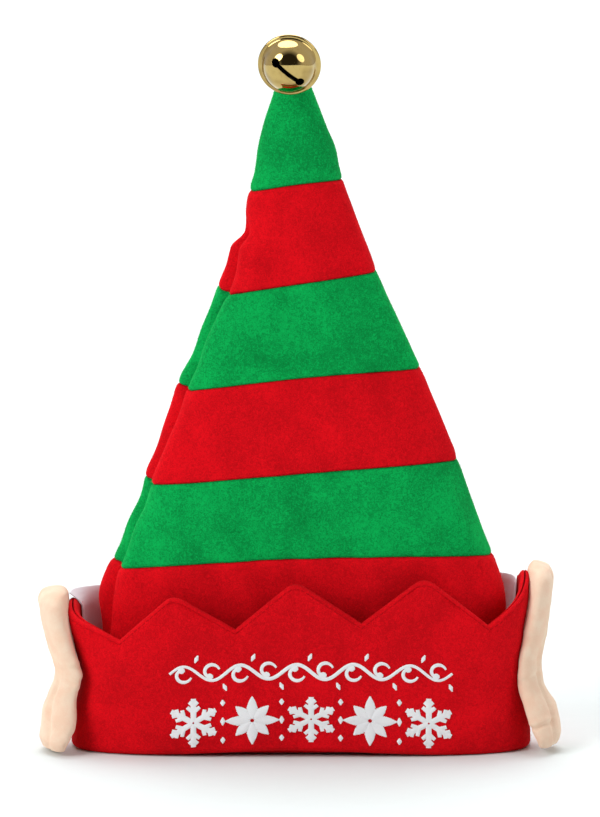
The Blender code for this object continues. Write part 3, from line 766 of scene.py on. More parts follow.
def rim_arch(points):
    """The rim arches off the floor by a few millimetres in the middle of the front."""
    front = smooth_step(-points[..., 1], 0.02, 0.035)
    return RIM_ARCH * hump(points[..., 0], -0.004, 0.066) * front * (1 - smooth_step(points[..., 2], 0, 0.05))


def settled(points):
    """The same points with the rim's arch, and with the left side pushed out by the ear that it carries."""
    points = points.copy()
    points[..., 2] += rim_arch(points)
    left = smooth_step(-points[..., 0], *LEFT_SIDE)
    points[..., 0] -= SIDE_BULGE * left * hump(points[..., 2], 0.078, 0.022)
    return points


def felt_face(places, heights, proud):
    """Points this far in front of the cuff's finished outer face."""
    face, normals = cuff_points(places, 0.0, heights)
    places, heights = np.broadcast_arrays(places, heights)
    stand = cuff_stand(face, edge_at(places) - heights) + valley_strain(places, heights) + proud
    return settled(face + normals * stand[..., None])


def valley_strain(places, heights):
    """Shallow lines that fan out under the valleys, where the turned felt is pulled tight."""
    total = 0
    for _, _, valley_at, valley_height, _ in ZIGZAG:
        across = ((places - valley_at + 0.5) % 1 - 0.5) * cuff_lengths[CUFF_LEVELS // 2]
        down = np.maximum(valley_height * CUFF_HEIGHT - 0.002 - heights, 0)
        fan = np.cos(9 * np.arctan2(across, down + 0.002))
        total = total + fan * np.exp(-np.hypot(across, down) / 0.009) * smooth_step(down, 0, 0.004)
    return -0.0006 * total


def cuff_layer(outer):
    """One layer's skin: up the face, over its half of the roll and into the slot."""
    skin = Skin()
    heights = cuff_wall_heights(RIM_RADIUS if outer else FACING_FOOT)
    base_inset = 0 if outer else CUFF_THICKNESS
    side = 1 if outer else -1
    face, normals = cuff_points(cuff_places, base_inset, heights)
    stand = cuff_stand(face, cuff_edges - heights)
    if outer:
        stand = stand + valley_strain(np.broadcast_to(cuff_places, heights.shape), heights)
    face = face + side * normals * stand[..., None]
    rows = [face]
    for angle in np.radians(ROLL_ANGLES):
        inset = ROLL * (1 - math.cos(angle))
        inset = min(inset, ROLL - SLOT_HALF)
        height = cuff_edges - ROLL + ROLL * math.sin(angle)
        depth = inset if outer else CUFF_THICKNESS - inset
        rows.append(cuff_points(cuff_places, depth, height)[0][None])
    middle = ROLL - SLOT_HALF if outer else ROLL + SLOT_HALF
    for drop in SLOT_DROPS:
        rows.append(cuff_points(cuff_places, middle, cuff_edges - drop)[0][None])
    rows = np.concatenate(rows)
    if outer:
        under = [(FOOT_DEPTH, FOOT_TOP)]
        under += [(inset, 0.0) for inset in (FOOT_DEPTH, FOOT_DEPTH - 0.0012, RIM_RADIUS + 0.003)]
        for angle in np.radians(RIM_ANGLES):
            under.append((RIM_RADIUS * (1 - math.sin(angle)), RIM_RADIUS * (1 - math.cos(angle))))
        rim = [cuff_points(cuff_places, inset, height)[0] for inset, height in under]
        skin.grid(settled(np.concatenate([np.stack(rim), rows])))
    else:
        skin.grid(settled(rows[:, ::-1]))
    return skin


cuff = cuff_layer(True).piece("felt_cuff", red_felt, "red_felt", "cuff_outer")
cuff_layer(False).piece("felt_cuff_facing", red_felt, "red_felt", "cuff_lining")

# %% [markdown]
# ## Threads laid one by one
# Satin stitch is a row of straight threads laid side by side across a line, each one arching from hole to
# hole. A texture of stripes would look flat from the side, so each thread is a small arched prism on the
# felt's own face. A motif is a list of strokes on the flat cloth, in millimetres across and up, each with
# a width at its start, middle and end, and the cuff's curve is applied at the end.

# %% Threads on the cuff
THREAD_STEP = 0.42  # millimetres from one thread to the next
THREAD_RADIUS = 0.00025
THREAD_ARCH = 0.00042
THREAD_SECTION = ((-1, 0.0), (-0.6, 0.8), (0.6, 0.8), (1, 0.0))  # across and up, in radii
RIBBON_SHARE = 0.42  # half the width of the flat ribbon under a stroke, as a share of the stroke's
RIBBON_STAND = 0.00016
EMBROIDERY_AT = 6.0  # millimetres to the right of the front centre
EMBROIDERY_BOW = 2.2  # how far its ends hang below its middle
EMBROIDERY_REACH = 85  # from its middle to its ends


def walk(points, step):
    """Even steps along a line of flat points: places, directions and the share of the way."""
    points = np.asarray(points, dtype=float)
    lengths = np.hypot(*np.diff(points, axis=0).T)
    way = np.concatenate([[0], np.cumsum(lengths)])
    count = max(2, int(round(way[-1] / step)))
    at = (np.arange(count) + 0.5) / count * way[-1]
    behind, place, ahead = (
        np.stack([np.interp(at + shift, way, points[:, k]) for k in (0, 1)], axis=1) for shift in (-0.3, 0, 0.3)
    )
    direction = ahead - behind
    return place, direction / np.linalg.norm(direction, axis=1, keepdims=True), at / way[-1]


def on_cuff(flat, proud):
    """Flat millimetres to points on the cuff's face, standing this far out."""
    across = (flat[..., 0] + EMBROIDERY_AT) / 1000
    height = (flat[..., 1] - EMBROIDERY_BOW * (flat[..., 0] / EMBROIDERY_REACH) ** 2) / 1000
    length = np.interp(height, cuff_heights, cuff_lengths)
    return felt_face(across / length, height, proud)


def lay_threads(skin, middles, ways, lengths):
    """Arched threads through these flat middles, along these ways."""
    along = np.array([-1.0, -0.82, -0.4, 0.0, 0.4, 0.82, 1.0])
    rise = np.sqrt(1 - 0.97 * along**2)
    side = np.stack([-ways[:, 1], ways[:, 0]], axis=1)
    line = middles[:, None] + ways[:, None] * (lengths[:, None] / 2 * along)[..., None]
    rows = []
    for shift, lift in THREAD_SECTION:
        flat = line + side[:, None] * (shift * THREAD_RADIUS * 1000)
        rows.append(on_cuff(flat, THREAD_ARCH * rise[None] + lift * THREAD_RADIUS))
    skin.strips(np.stack(rows, axis=2))


def satin(skin, points, widths, chance):
    """A satin stroke along a line, with its widths from start to end."""
    middles, ways, share = walk(points, THREAD_STEP)
    width = np.interp(share, np.linspace(0, 1, len(widths)), widths)
    width = width + chance.uniform(-0.09, 0.09, len(width))
    turn = chance.normal(0, 0.035, len(width))
    side = np.stack([-ways[:, 1], ways[:, 0]], axis=1)
    laid = side * np.cos(turn)[:, None] + ways * np.sin(turn)[:, None]
    lay_threads(skin, middles, laid, np.maximum(width, 0.5))
    edge = side * (width * RIBBON_SHARE)[:, None]
    ribbon = np.stack([middles + edge, middles - edge], axis=1)
    skin.grid(on_cuff(ribbon, RIBBON_STAND), closed=False)


# %% [markdown]
# ## Winter motifs
# The lower row is bold, with snowflakes and eight-pointed stars in turn, and above it runs a thin scroll
# with berries. Both are plain folk patterns of straight and curved strokes, so loops over angles draw them.

# %% Embroidering the cuff
MOTIF_PITCH = 35.0  # millimetres, as are all of these
MOTIF_HEIGHT = 21.8
SCROLL_REACH = 84
SCROLL_HEIGHT = 53.0


def snowflake(middle, size):
    """Six arms with two pairs of twigs each."""
    strokes = []
    for k in range(6):
        angle = math.radians(90 + 60 * k)
        out = np.array([math.cos(angle), math.sin(angle)])
        strokes.append(([middle + out * 0.6, middle + out * size], (3.2, 3.6, 3.0)))
        for reach, twig in ((0.44, 0.32), (0.72, 0.22)):
            for turn in (-50, 50):
                bent = angle + math.radians(turn)
                tip = np.array([math.cos(bent), math.sin(bent)]) * size * twig
                start = middle + out * size * reach
                strokes.append(([start, start + tip], (2.7, 2.6, 2.2)))
    return strokes


def star(middle, size):
    """Eight leaves round the middle, the slanted ones shorter."""
    strokes = []
    for k in range(8):
        angle = math.radians(90 + 45 * k)
        out = np.array([math.cos(angle), math.sin(angle)])
        reach = size * (1.0 if k % 2 == 0 else 0.86)
        strokes.append(([middle + out * 1.2, middle + out * reach], (0.8, 4.4, 6.6, 4.4, 0.7)))
    return strokes


def scroll(start, end, height, waves):
    """A running wave with a curl and a berry in each bend."""
    x = np.linspace(start, end, 400)
    phase = (x - start) / (end - start) * waves * math.tau
    strokes = [(np.stack([x, height + 4.4 * np.sin(phase)], axis=1), (1.6, 2.2, 2.2, 1.6))]
    length = (end - start) / waves
    for k in range(2 * waves):
        up = 1 if k % 2 == 0 else -1
        crest = start + (k + 0.5) * length / 2
        turn = np.linspace(0, 1, 40)
        radius = 5.4 * (1 - 0.50 * turn)
        angle = up * (math.radians(-20) - turn * math.radians(235))
        curl_x = crest - 0.6 + radius * np.cos(angle)
        curl_z = height + up * -0.6 + radius * np.sin(angle)
        strokes.append((np.stack([curl_x, curl_z], axis=1), (1.2, 2.1, 2.1, 1.8)))
        berry = np.array([curl_x[-1], curl_z[-1]])
        strokes.append(([berry - (2.0, 0), berry + (2.0, 0)], (1.2, 3.3, 4.0, 3.3, 1.2)))
        twig = np.array([crest + length * 0.20, height + up * 6.6])
        strokes.append(([twig, twig + (1.9, up * 4.4)], (0.7, 2.6, 0.7)))
    return strokes


def embroidery_skin():
    chance = np.random.default_rng(5)
    skin = Skin()
    strokes = scroll(-SCROLL_REACH, SCROLL_REACH, SCROLL_HEIGHT, 5)
    for k in range(5):
        middle = np.array([(k - 2) * MOTIF_PITCH, MOTIF_HEIGHT])
        strokes += snowflake(middle, 15.4) if k % 2 == 0 else star(middle, 16.0)
    for k in range(4):
        for height, reach in ((9.5, 2.0), (MOTIF_HEIGHT, 2.6), (34.0, 2.0)):
            middle = np.array([(k - 1.5) * MOTIF_PITCH, height])
            strokes.append(([middle - (0, reach), middle + (0, reach)], (0.6, 3.2, 0.6)))
    for points, widths in strokes:
        satin(skin, points, widths, chance)
    return skin


embroidery_skin().piece("white_embroidery", white_thread, None)

# %% [markdown]
# ## Topstitching
# A line of small stitches holds the two layers together just under the zigzag edge. Each lies in the groove
# that it pulls. They are laid with the thread helper, along the edge instead of across it.

# %% Stitches under the zigzag
STITCH_LENGTH = 2.3
STITCH_PITCH = 3.3


def topstitch_skin():
    places = np.append(cuff_places, cuff_places[0] + 1)
    edges = np.append(cuff_edges, cuff_edges[0]) - GROOVE_BELOW
    length = np.interp(edges, cuff_heights, cuff_lengths)
    way = np.concatenate([[0], np.cumsum(np.hypot(np.diff(places) * length[:-1], np.diff(edges)))])
    starts = np.arange(0, way[-1], STITCH_PITCH / 1000)
    along = np.linspace(-1, 1, 7)
    at = starts[:, None] + (along + 1) * STITCH_LENGTH / 2000
    place, height = np.interp(at, way, places), np.interp(at, way, edges)
    slope = np.interp(at, way, np.gradient(edges, way))
    rise = np.sqrt(1 - 0.98 * along**2)
    sides = []
    for shift, lift in THREAD_SECTION:
        off = shift * THREAD_RADIUS
        around = off * -slope / np.interp(height, cuff_heights, cuff_lengths)
        up = off * np.sqrt(np.maximum(0, 1 - slope**2))
        proud = 0.0001 * rise + lift * THREAD_RADIUS - 0.00014
        sides.append(felt_face(place + around, height + up, proud))
    skin = Skin()
    skin.strips(np.stack(sides, axis=2))
    return skin


topstitch_skin().piece("cuff_topstitch", red_thread, None)

# %% [markdown]
# ## The white sheet
# A thin plastic sheet stands between the cuff's facing and the crown in the back half and keeps the cuff up.
# It shows in the gaps between the teeth and the crown. It is a ribbon with four long edges, bent round the
# same outlines as the felt, with its top edge rounded by one row on each side.

# %% The sheet
SHEET_LEFT_HEIGHT = 0.0920
SHEET_RIGHT_HEIGHT = 0.1000
SHEET_FROM = 0.248
SHEET_TO = 0.752
SHEET_GAP = 0.0021
SHEET_FOOT = 0.0035  # the height of its lower edge
SHEET_LIP = 0.0002  # how far below the top its edge starts to round off
SHEET_FLARE = 0.0085  # how far its free left corner leans out


def sheet_skin():
    places = np.linspace(SHEET_FROM, SHEET_TO, 180)
    top_points, _ = cuff_points(places, ROLL, CUFF_HEIGHT)
    across = (top_points[:, 0] / HEM_HALF_WIDTH + 1) / 2
    top = SHEET_LEFT_HEIGHT + across * (SHEET_RIGHT_HEIGHT - SHEET_LEFT_HEIGHT)
    half, middle = STIFFENER / 2, CUFF_THICKNESS + SHEET_GAP
    rises = [SHEET_FOOT + level * (top - SHEET_LIP - SHEET_FOOT) for level in np.linspace(0, 1, 24)]
    around = [(middle - half, rise) for rise in rises]
    around += [(middle - half * 0.5, top), (middle + half * 0.5, top)]
    around += [(middle + half, rise) for rise in reversed(rises)]
    rows = settled(np.stack([cuff_points(places, inset, height)[0] for inset, height in around]))
    left = smooth_step(-rows[..., 0], *LEFT_SIDE)
    rows[..., 0] -= SHEET_FLARE * left * smooth_step(rows[..., 2], 0.085, 0.0925)
    skin = Skin()
    index = skin.grid(rows, closed=False)
    skin.faces.append(np.stack([index[-1, :-1], index[-1, 1:], index[0, 1:], index[0, :-1]], axis=-1))
    for end in (0, -1):
        near, far = index[: len(around) // 2, end], index[: len(around) // 2 - 1 : -1, end]
        strip = np.stack([near[:-1], near[1:], far[1:], far[:-1]], axis=-1)
        skin.faces.append(strip if end == 0 else strip[:, ::-1])
    return skin


sheet = sheet_skin().piece("white_stiffener", white_sheet, "white_plastic", "stiffener")
sheet.data.set_sharp_from_angle(angle=math.radians(50))

# %% [markdown]
# ## Ears
# Each ear is two panels of plush sewn round and stuffed: a lobe at the foot, a narrow waist with wrinkles,
# and a leaf-shaped top that sweeps back. A skin through lens-shaped sections gives the stuffed form. The
# seam that closes the panels is a real groove with puckers, and it comes after the shape, because a remesh
# would erase it.

# %% The ears
EAR_HEIGHTS = {"ear_left": 0.0945, "ear_right": 0.1080}
EAR_LIFTS = {"ear_left": 0.0005, "ear_right": 0.0020}
EAR_TIP_LEANS = {"ear_left": 0.0060, "ear_right": 0.0}
EAR_WIDTH = 0.0500
EAR_THICKNESS = 0.0160
EAR_PLACES = {"ear_left": 0.202, "ear_right": 0.207}
EAR_SIDES = 96
EAR_ROWS = 150
EAR_SECTIONS = (
    # height, start, reach, away, thick, splay
    (0.000, 0.06, 0.30, 0.16, 0.40, 6),
    (0.030, -0.06, 0.42, 0.14, 0.80, 6),
    (0.100, -0.10, 0.46, 0.11, 1.00, 5),
    (0.220, -0.06, 0.50, 0.05, 1.00, 3),
    (0.350, 0.00, 0.54, 0.00, 0.90, 0),
    (0.480, 0.01, 0.58, 0.00, 0.84, 0),
    (0.640, 0.08, 0.76, 0.01, 0.95, 3),
    (0.800, 0.16, 0.92, 0.01, 1.05, 5),
    (0.910, 0.24, 1.00, 0.01, 1.05, 5),
    (0.970, 0.36, 1.02, 0.02, 0.85, 5),
    (1.000, 0.54, 0.94, 0.04, 0.40, 5),
)
EAR_SEAMS = {"ear_left": 102, "ear_right": 106}  # degrees round the section from the far edge
EAR_WRINKLES = {
    # height, depth, half height, slant
    "ear_left": (
        (0.430, 0.0005, 0.0016, 0.35),
        (0.475, 0.0008, 0.0018, 0.10),
        (0.520, 0.0007, 0.0016, -0.30),
        (0.565, 0.0005, 0.0015, 0.25),
        (0.160, 0.0006, 0.0018, 0.5),
    ),
    "ear_right": (
        (0.165, 0.0013, 0.0013, 0.25),
        (0.430, 0.0006, 0.0016, 0.3),
        (0.610, 0.0005, 0.0020, -0.4),
    ),
}
EAR_SEAM_DEPTH = 0.0018
EAR_SEAM_HALF_WIDTH = 0.0011
EAR_TAPERS = {"ear_left": 0.34, "ear_right": 0.42}  # how much narrower the lobe gets at its foot
EAR_SHIFTS = {
    # outward, height, half height
    "ear_left": ((0.0038, 0.031, 0.012),),
    "ear_right": ((-0.0022, 0.060, 1.000), (-0.0006, 0.066, 0.020), (0.0022, 0.027, 0.010)),
}


def ear_rows(name, side):
    """Rings of points up one ear, before its seam and wrinkles."""
    share = (1 - np.cos(np.linspace(0, math.pi, EAR_ROWS))) / 2
    share = 0.5 * share + 0.5 * np.linspace(0, 1, EAR_ROWS)
    heights = EAR_LIFTS[name] + share * EAR_HEIGHTS[name]
    start, reach, away, thick, splay = (table_value(EAR_SECTIONS, column, share) for column in range(1, 6))
    from_end = np.minimum(share, 1 - share)
    dome = np.sqrt(1 - (1 - np.clip(from_end / 0.035, 0, 1)) ** 2) * 0.97 + 0.03
    length = np.interp(heights, cuff_heights, cuff_lengths)[:, None]
    along_cuff = (0.25 - EAR_PLACES[name]) * length
    middle = ((start + reach) / 2 * EAR_WIDTH)[:, None]
    half_length = ((reach - start) / 2 * EAR_WIDTH * dome)[:, None]
    thickness = (thick * EAR_THICKNESS / 2)[:, None]
    lean = SEAM_GAP + EAR_TIP_LEANS[name] * np.maximum(0, share - 0.5)[:, None] / 0.5
    turn = math.tau * np.arange(EAR_SIDES)[None] / EAR_SIDES
    along = middle + half_length * np.cos(turn)
    behind = np.maximum(0, along - along_cuff)
    out = lean + (away * EAR_WIDTH)[:, None] + thickness * (1 + dome[:, None] * np.sin(turn))
    out = out - 0.6 * lean * (1 - np.sin(turn)) / 2
    places = side * (EAR_PLACES[name] + (along - behind) / length)
    rows, _ = cuff_points(places, -out, heights[:, None])
    rows[..., 0] += side * behind * np.tan(np.radians(splay))[:, None]
    rows[..., 1] += behind
    reach = side * rows[..., 0]
    outermost = reach.max(axis=1, keepdims=True)
    taper = 1 - EAR_TAPERS[name] * (1 - smooth_step(heights, 0.0, 0.030))[:, None]
    reach = outermost - (outermost - reach) * taper
    for outward_by, height, half in EAR_SHIFTS[name]:
        reach = reach + outward_by * hump(heights, height, half)[:, None]
    rows[..., 0] = side * reach
    return rows, share, turn


def ear_skin(name, side):
    rows, share, turn = ear_rows(name, side)
    normals = outward(rows) * -side
    seam = math.radians(EAR_SEAMS[name])
    radius = np.linalg.norm(rows - rows.mean(axis=1, keepdims=True), axis=-1)
    stand = np.zeros(rows.shape[:2])
    for line in (seam, seam + math.pi):
        away = np.abs((turn - line + math.pi) % math.tau - math.pi) * radius
        pucker = 1 + 0.5 * ripple(rows, 0.007, 21)
        groove = EAR_SEAM_DEPTH * np.exp(-((away / EAR_SEAM_HALF_WIDTH) ** 2))
        stand -= groove + 0.00035 * pucker * np.exp(-away / 0.003)
    for height, depth, half, slant in EAR_WRINKLES[name]:
        line = EAR_HEIGHTS[name] * height + slant * (np.abs(rows[..., 0]) - 0.143)
        line = line + 0.0006 * ripple(rows, 0.015, int(height * 1000))
        fade = hump(np.cos(turn - math.radians(150)), 1, 0.45)
        stand -= fade * depth * hump(rows[..., 2], line, half)
        stand += fade * depth * 0.4 * hump(rows[..., 2], line + 2.2 * half, 1.4 * half)
    ends = smooth_step(np.minimum(share, 1 - share), 0.0, 0.06)[:, None]
    stand = stand + 0.0003 * ripple(rows, 0.030, 22) + 0.00008 * ripple(rows, 0.009, 23)
    rows = rows + normals * (stand * ends)[..., None]
    rows[..., 2] = np.maximum(rows[..., 2], 0.0002)
    skin = Skin()
    rows = rows[:, ::-1] if side > 0 else rows
    index = skin.grid(rows)
    skin.lid(index[-1], rows[-1].mean(axis=0))
    skin.lid(index[0][::-1], rows[0].mean(axis=0))
    return skin


for name, side in (("ear_left", -1), ("ear_right", 1)):
    ear_skin(name, side).piece(f"plush_{name}", ear_plush, "ear_plush", name)

# %% [markdown]
# ## The jingle bell
# The bell is two brass cups pressed from sheet and crimped together, so a flange runs round its middle. The
# front cup has a slot that ends in two round holes, and a wire loop is soldered behind. A turned profile
# gives the cups, and the slot is cut by a Boolean, whose shape is exact where a texture would only look
# painted. Bevel breaks the cut's sharp lip so that it catches light.

# %% Turning the bell
BELL_RADIUS = 0.0166
BELL_WALL = 0.0009
FLANGE_RADIUS = 0.0186
FLANGE_HALF_THICKNESS = 0.0012
SLOT_LENGTH = 0.0180
SLOT_WIDTH = 0.0026
SLOT_END_RADIUS = 0.0025
SLOT_TURN = 40
LOOP_RADIUS = 0.0032
LOOP_WIRE_RADIUS = 0.0008
BELL_DROOP = 17
BELL_SIDEWAYS = 4
BELL_SIDE_STEP = -0.0068
BELL_BELOW_TIP = 0.0050
FRONT_DOME_RADIUS = 0.0157  # the cups draw in beside the flange


def dome_profile():
    """The bell's outside from the pole behind to the pole with the slot, and back inside."""
    cove = math.radians(17)
    quarter = []
    for angle in np.linspace(math.pi / 2, cove, 30):
        ease = smooth_step(angle, cove, math.radians(60))
        radius = FRONT_DOME_RADIUS + (BELL_RADIUS - FRONT_DOME_RADIUS) * ease
        quarter.append((radius * math.cos(angle), BELL_RADIUS * math.sin(angle)))
    tip = FLANGE_RADIUS - FLANGE_HALF_THICKNESS
    start_radius, start_height = quarter[-1]
    coves = []
    for share in np.linspace(0, 1, 8)[1:]:
        radius = start_radius + (tip - start_radius) * share
        height = FLANGE_HALF_THICKNESS + (start_height - FLANGE_HALF_THICKNESS) * (1 - share) ** 2.2
        coves.append((radius, height))
    rim = [
        (tip + FLANGE_HALF_THICKNESS * math.cos(angle), FLANGE_HALF_THICKNESS * math.sin(angle))
        for angle in np.linspace(math.pi / 2, -math.pi / 2, 11)[1:-1]
    ]
    front = [(radius, -height) for radius, height in reversed(quarter + coves)]
    inner = BELL_RADIUS - BELL_WALL * 1.6
    angles = np.linspace(-math.pi / 2, math.pi / 2, 25)
    inside = [(inner * math.cos(angle), inner * math.sin(angle)) for angle in angles]
    return quarter + coves + rim + front, inside


def turned(profiles, steps):
    """A skin that is turned round Z from profiles of radius and height."""
    skin = Skin()
    for profile in profiles:
        around = np.linspace(0, math.tau, steps, endpoint=False)
        profile = np.array(profile)[::-1]
        profile[:, 0] = np.maximum(profile[:, 0], 0)
        low, body, high = profile[0], profile[1:-1], profile[-1]
        rows = np.stack(
            [
                body[:, :1] * np.cos(around)[None],
                body[:, :1] * np.sin(around)[None],
                np.broadcast_to(body[:, 1:], (len(body), steps)),
            ],
            axis=-1,
        )
        index = skin.grid(rows)
        skin.lid(index[-1], (0, 0, high[1]))
        skin.lid(index[0][::-1], (0, 0, low[1]))
    return skin


def plain_object(skin, name):
    """A skin's mesh as an object that isn't dressed yet."""
    mesh = bpy.data.meshes.new(name)
    faces = [tuple(int(corner) for corner in face) for faces in skin.faces for face in faces]
    mesh.from_pydata(np.concatenate(skin.points).tolist(), [], faces)
    mesh.shade_smooth()
    return placed(name, mesh)


def slot_cutter():
    """A dumbbell prism through the front cup."""
    depth = BELL_RADIUS * 1.3
    half_bar = SLOT_WIDTH / 2
    reach = math.sqrt(SLOT_END_RADIUS**2 - half_bar**2)
    open_angle = math.atan2(half_bar, reach)
    outline = []
    for end, start in ((1, math.pi - open_angle), (-1, -open_angle)):
        for angle in np.linspace(start, start - 2 * (math.pi - open_angle), 28):
            centre = end * SLOT_LENGTH / 2
            outline.append((centre + SLOT_END_RADIUS * math.cos(angle), SLOT_END_RADIUS * math.sin(angle)))
    turn = math.radians(SLOT_TURN)
    outline = np.array(outline)[::-1]
    x = outline[:, 0] * math.cos(turn) - outline[:, 1] * math.sin(turn)
    y = outline[:, 0] * math.sin(turn) + outline[:, 1] * math.cos(turn)
    skin = Skin()
    rows = np.stack([np.stack([x, y, np.full_like(x, z)], axis=-1) for z in (-depth, -BELL_RADIUS * 0.25)])
    index = skin.grid(rows)
    skin.lid(index[-1], rows[-1].mean(axis=0))
    skin.lid(index[0][::-1], rows[0].mean(axis=0))
    return plain_object(skin, "slot_cutter")


def loop_skin():
    """The wire loop behind the bell."""
    around = np.linspace(0, math.tau, 48, endpoint=False)[:, None]
    section = np.linspace(0, math.tau, 16, endpoint=False)[None]
    out = LOOP_RADIUS + LOOP_WIRE_RADIUS * np.cos(section)
    rows = np.stack(
        [
            out * np.cos(around),
            LOOP_WIRE_RADIUS * np.sin(section) + 0 * around,
            out * np.sin(around) + BELL_RADIUS + LOOP_RADIUS / 2,
        ],
        axis=-1,
    )
    skin = Skin()
    skin.grid(np.concatenate([rows, rows[:1]]))
    return skin


def bake_modifiers(made):
    """Replaces an object's mesh by what its modifiers make of it."""
    graph = bpy.context.evaluated_depsgraph_get()
    mesh = bpy.data.meshes.new_from_object(made.evaluated_get(graph))
    made.modifiers.clear()
    made.data = mesh
    return made


def build_bell():
    outside, inside = dome_profile()
    shell = plain_object(turned([outside, inside], 160), "brass_bell")
    cutter = slot_cutter()
    cut = shell.modifiers.new("slot", "BOOLEAN")
    cut.operation = "DIFFERENCE"
    cut.object = cutter
    bevel = shell.modifiers.new("lip", "BEVEL")
    bevel.width = 0.00018
    bevel.segments = 2
    bevel.limit_method = "ANGLE"
    bevel.angle_limit = math.radians(50)
    bake_modifiers(shell)
    bpy.data.objects.remove(cutter)
    facing_way = Matrix.Rotation(math.radians(-BELL_SIDEWAYS), 4, "Z") @ Matrix.Rotation(
        math.radians(-90 + BELL_DROOP), 4, "X"
    )
    height = CROWN_HEIGHT - BELL_BELOW_TIP
    back = facing_way @ Vector((0, 0, BELL_RADIUS + 1.5 * LOOP_RADIUS + LOOP_WIRE_RADIUS))
    tip_depth = float(table_value(CROWN_SECTIONS, 3, (height + back.z) / CROWN_HEIGHT)) * HEM_HALF_DEPTH
    centre = Vector((BELL_SIDE_STEP, -tip_depth - SEAM_GAP - back.y, height))
    place = Matrix.Translation(centre) @ facing_way
    shell.data.transform(place)
    loop = loop_skin().piece("brass_loop", brass, "gold_bell")
    loop.data.transform(place)
    shell.data.shade_smooth()
    shell.data.set_sharp_from_angle(angle=math.radians(42))
    dress(shell, brass, "gold_bell", "bell_shell")
    # The faces inside the shell take the near-black brass: painted shade
    shell.data.materials.append(painted_shade_brass)
    for face in shell.data.polygons:
        if (face.center - centre).length < BELL_RADIUS - BELL_WALL:
            face.material_index = 1


build_bell()
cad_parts["bell_pellet"].material_slots[0].material = steel

# %% [markdown]
# ## Loose fibres
# Brushed felt doesn't end in a clean line. Fibres a millimetre long stand off it in all directions, and they
# soften its outline and the seams between two colours. A particle system would hide its count, so they are
# scattered one by one: a random spot on the outer faces, a slanted direction, and one thin triangle.

# %% Fuzz
FIBRE_LENGTH = 0.0012
FIBRE_WIDTH = 0.00008
RED_FIBRES = 90000
GREEN_FIBRES = 50000


def outer_triangles(wearers):
    """Corners of the triangles of these pieces that face away from the hat's hollow."""
    found = []
    for made in wearers:
        mesh = made.data
        mesh.calc_loop_triangles()
        points = np.empty(len(mesh.vertices) * 3, np.float32)
        corners = np.empty(len(mesh.loop_triangles) * 3, np.int32)
        mesh.vertices.foreach_get("co", points)
        mesh.loop_triangles.foreach_get("vertices", corners)
        found.append(points.reshape(-1, 3)[corners.reshape(-1, 3)])
    found = np.concatenate(found).astype(float)
    across = np.cross(found[:, 1] - found[:, 0], found[:, 2] - found[:, 0])
    from_axis = found.mean(axis=1) / (HEM_HALF_WIDTH**2, HEM_HALF_DEPTH**2, np.inf)
    outer = (across * from_axis).sum(axis=1) > 0
    return found[outer], across[outer]


def fuzz_skin(wearers, count, seed):
    """Slanted fibres scattered over these pieces."""
    chance = np.random.default_rng(seed)
    corners, across = outer_triangles(wearers)
    area = np.linalg.norm(across, axis=1)
    chosen = chance.choice(len(area), count, p=area / area.sum())
    weights = chance.dirichlet((1, 1, 1), count)
    roots = (corners[chosen] * weights[..., None]).sum(axis=1)
    normals = across[chosen] / area[chosen][:, None]
    ways = chance.normal(size=(count, 3)) * 0.6 + normals * 0.75
    ways /= np.linalg.norm(ways, axis=1, keepdims=True)
    sides = np.cross(ways, chance.normal(size=(count, 3)))
    sides *= FIBRE_WIDTH / 2 / np.linalg.norm(sides, axis=1, keepdims=True)
    tips = roots + ways * FIBRE_LENGTH * chance.uniform(0.4, 1.2, (count, 1))
    skin = Skin()
    skin.points.append(np.stack([roots - sides, roots + sides, tips], axis=1).reshape(-1, 3))
    skin.faces.append(np.arange(3 * count).reshape(-1, 3))
    return skin


fuzz_skin([*stripes[0::2], cuff], RED_FIBRES, 31).piece("red_fuzz", red_felt, "red_felt")
fuzz_skin(stripes[1::2], GREEN_FIBRES, 32).piece("green_fuzz", green_felt, "green_felt")

# %% [markdown]
# ## Floor, light and camera
# The photograph was taken on white with broad soft light from above and both sides, and a faint shadow
# under the rim. Suns with wide angles light a large floor evenly, so no edge or fall-off shows. The paper has
# no gloss, and it is faintly blue-green, because red felt throws a pink light on it. The world is even but
# for a dark patch on the camera's side, like the unlit room behind a photographer, so the brass has something
# dark to reflect, and the camera itself sees plain white behind the hat. It stands 2.2 m off with a long lens,
# seven and a half degrees above the hat's middle.

# %% Stage
FLOOR_HALF_SIZE = 60.0
PAPER = (0.730, 0.785, 0.787, 1)
LIGHT_PAPER = (0.750, 0.805, 0.807, 1)
WORLD_BRIGHTNESS = 0.67
DARK_WAY = (0, -0.94, 0.34)  # towards the middle of the dark patch
DARK_STOPS = ((0.50, (1, 1, 1, 1)), (0.86, (0.05, 0.045, 0.04, 1)))
SUNS = (
    # name, direction, strength, spread in degrees
    ("key", (0.75, 0.52, -0.55), 1.80, 35),
    ("fill", (-0.75, 0.45, -0.5), 0.60, 35),
    ("rear", (0.05, -0.5, -1.0), 2.10, 50),
)


def build_floor():
    mesh = bpy.data.meshes.new("studio_floor")
    corners = [(x * FLOOR_HALF_SIZE, y * FLOOR_HALF_SIZE, 0) for x, y in ((-1, -1), (1, -1), (1, 1), (-1, 1))]
    mesh.from_pydata(corners, [], [(0, 1, 2, 3)])
    made = placed("studio_floor", mesh)
    paper = Shader("studio_paper", Roughness=0.9)
    paper.principled.inputs["Specular IOR Level"].default_value = 0.0
    grain = paper.noise(paper.place(), 0.01)
    mesh.materials.append(paper.feed(Base_Color=paper.blend(PAPER, LIGHT_PAPER, grain)))


def aim(made, way):
    """Turns a light or a camera to look this way."""
    made.rotation_mode = "QUATERNION"
    made.rotation_quaternion = way.to_track_quat("-Z", "Y")


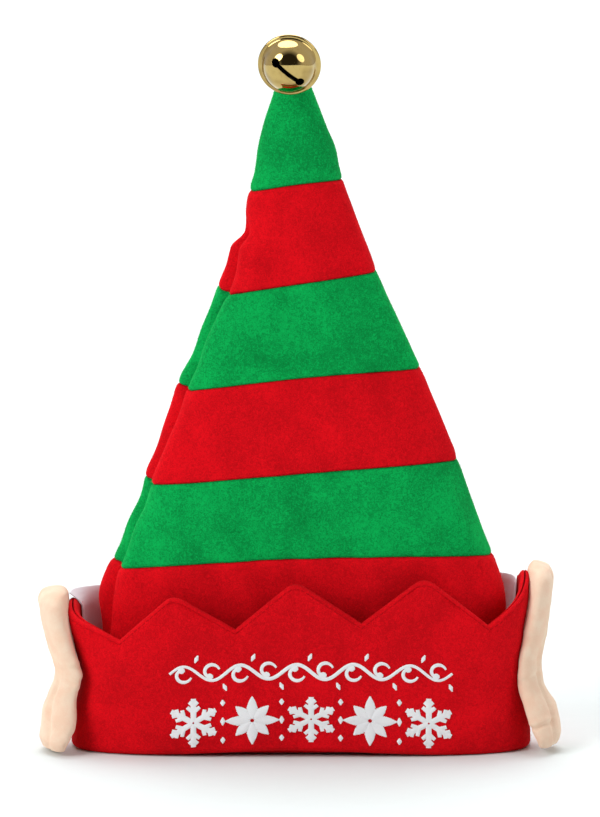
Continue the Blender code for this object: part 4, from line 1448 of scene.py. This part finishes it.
def sun(name, direction, strength, spread):
    light = bpy.data.lights.new(name, "SUN")
    light.energy = strength
    light.angle = math.radians(spread)
    aim(placed(name, light), Vector(direction))


def build_world():
    world = bpy.data.worlds.new("studio")
    bpy.context.scene.world = world
    world.use_nodes = True
    tree = world.node_tree
    light = tree.nodes["Background"]
    way = tree.nodes.new("ShaderNodeTexCoord")
    dim = tree.nodes.new("ShaderNodeVectorMath")
    dim.operation = "DOT_PRODUCT"
    dim.inputs[1].default_value = DARK_WAY
    ramp = tree.nodes.new("ShaderNodeValToRGB")
    for element, (position, colour) in zip(ramp.color_ramp.elements, DARK_STOPS):
        element.position, element.color = position, colour
    tree.links.new(way.outputs["Generated"], dim.inputs[0])
    tree.links.new(dim.outputs["Value"], ramp.inputs["Fac"])
    tree.links.new(ramp.outputs["Color"], light.inputs["Color"])
    light.inputs["Strength"].default_value = WORLD_BRIGHTNESS
    white = tree.nodes.new("ShaderNodeBackground")
    white.inputs["Color"].default_value = (1, 1, 1, 1)
    seen = tree.nodes.new("ShaderNodeLightPath")
    mixed = tree.nodes.new("ShaderNodeMixShader")
    tree.links.new(seen.outputs["Is Camera Ray"], mixed.inputs[0])
    tree.links.new(light.outputs[0], mixed.inputs[1])
    tree.links.new(white.outputs[0], mixed.inputs[2])
    tree.links.new(mixed.outputs[0], tree.nodes["World Output"].inputs["Surface"])


CAMERA_DISTANCE = 2.2
CAMERA_ELEVATION = math.radians(7.5)
CAMERA_TARGET = Vector((-0.0006, 0, 0.204))
FRAME_HEIGHT = 817 * 0.0006  # metres that the picture's height covers at the target


def build_camera():
    camera = bpy.data.cameras.new("photo_camera")
    camera.sensor_width = 36
    camera.lens = 36 * CAMERA_DISTANCE / FRAME_HEIGHT
    camera.clip_start, camera.clip_end = 0.05, 200
    made = placed("photo_camera", camera)
    back = Vector((0, -math.cos(CAMERA_ELEVATION), math.sin(CAMERA_ELEVATION)))
    made.location = CAMERA_TARGET + back * CAMERA_DISTANCE
    aim(made, -back)
    bpy.context.scene.camera = made


build_floor()
build_world()
for lamp in SUNS:
    sun(*lamp)
build_camera()
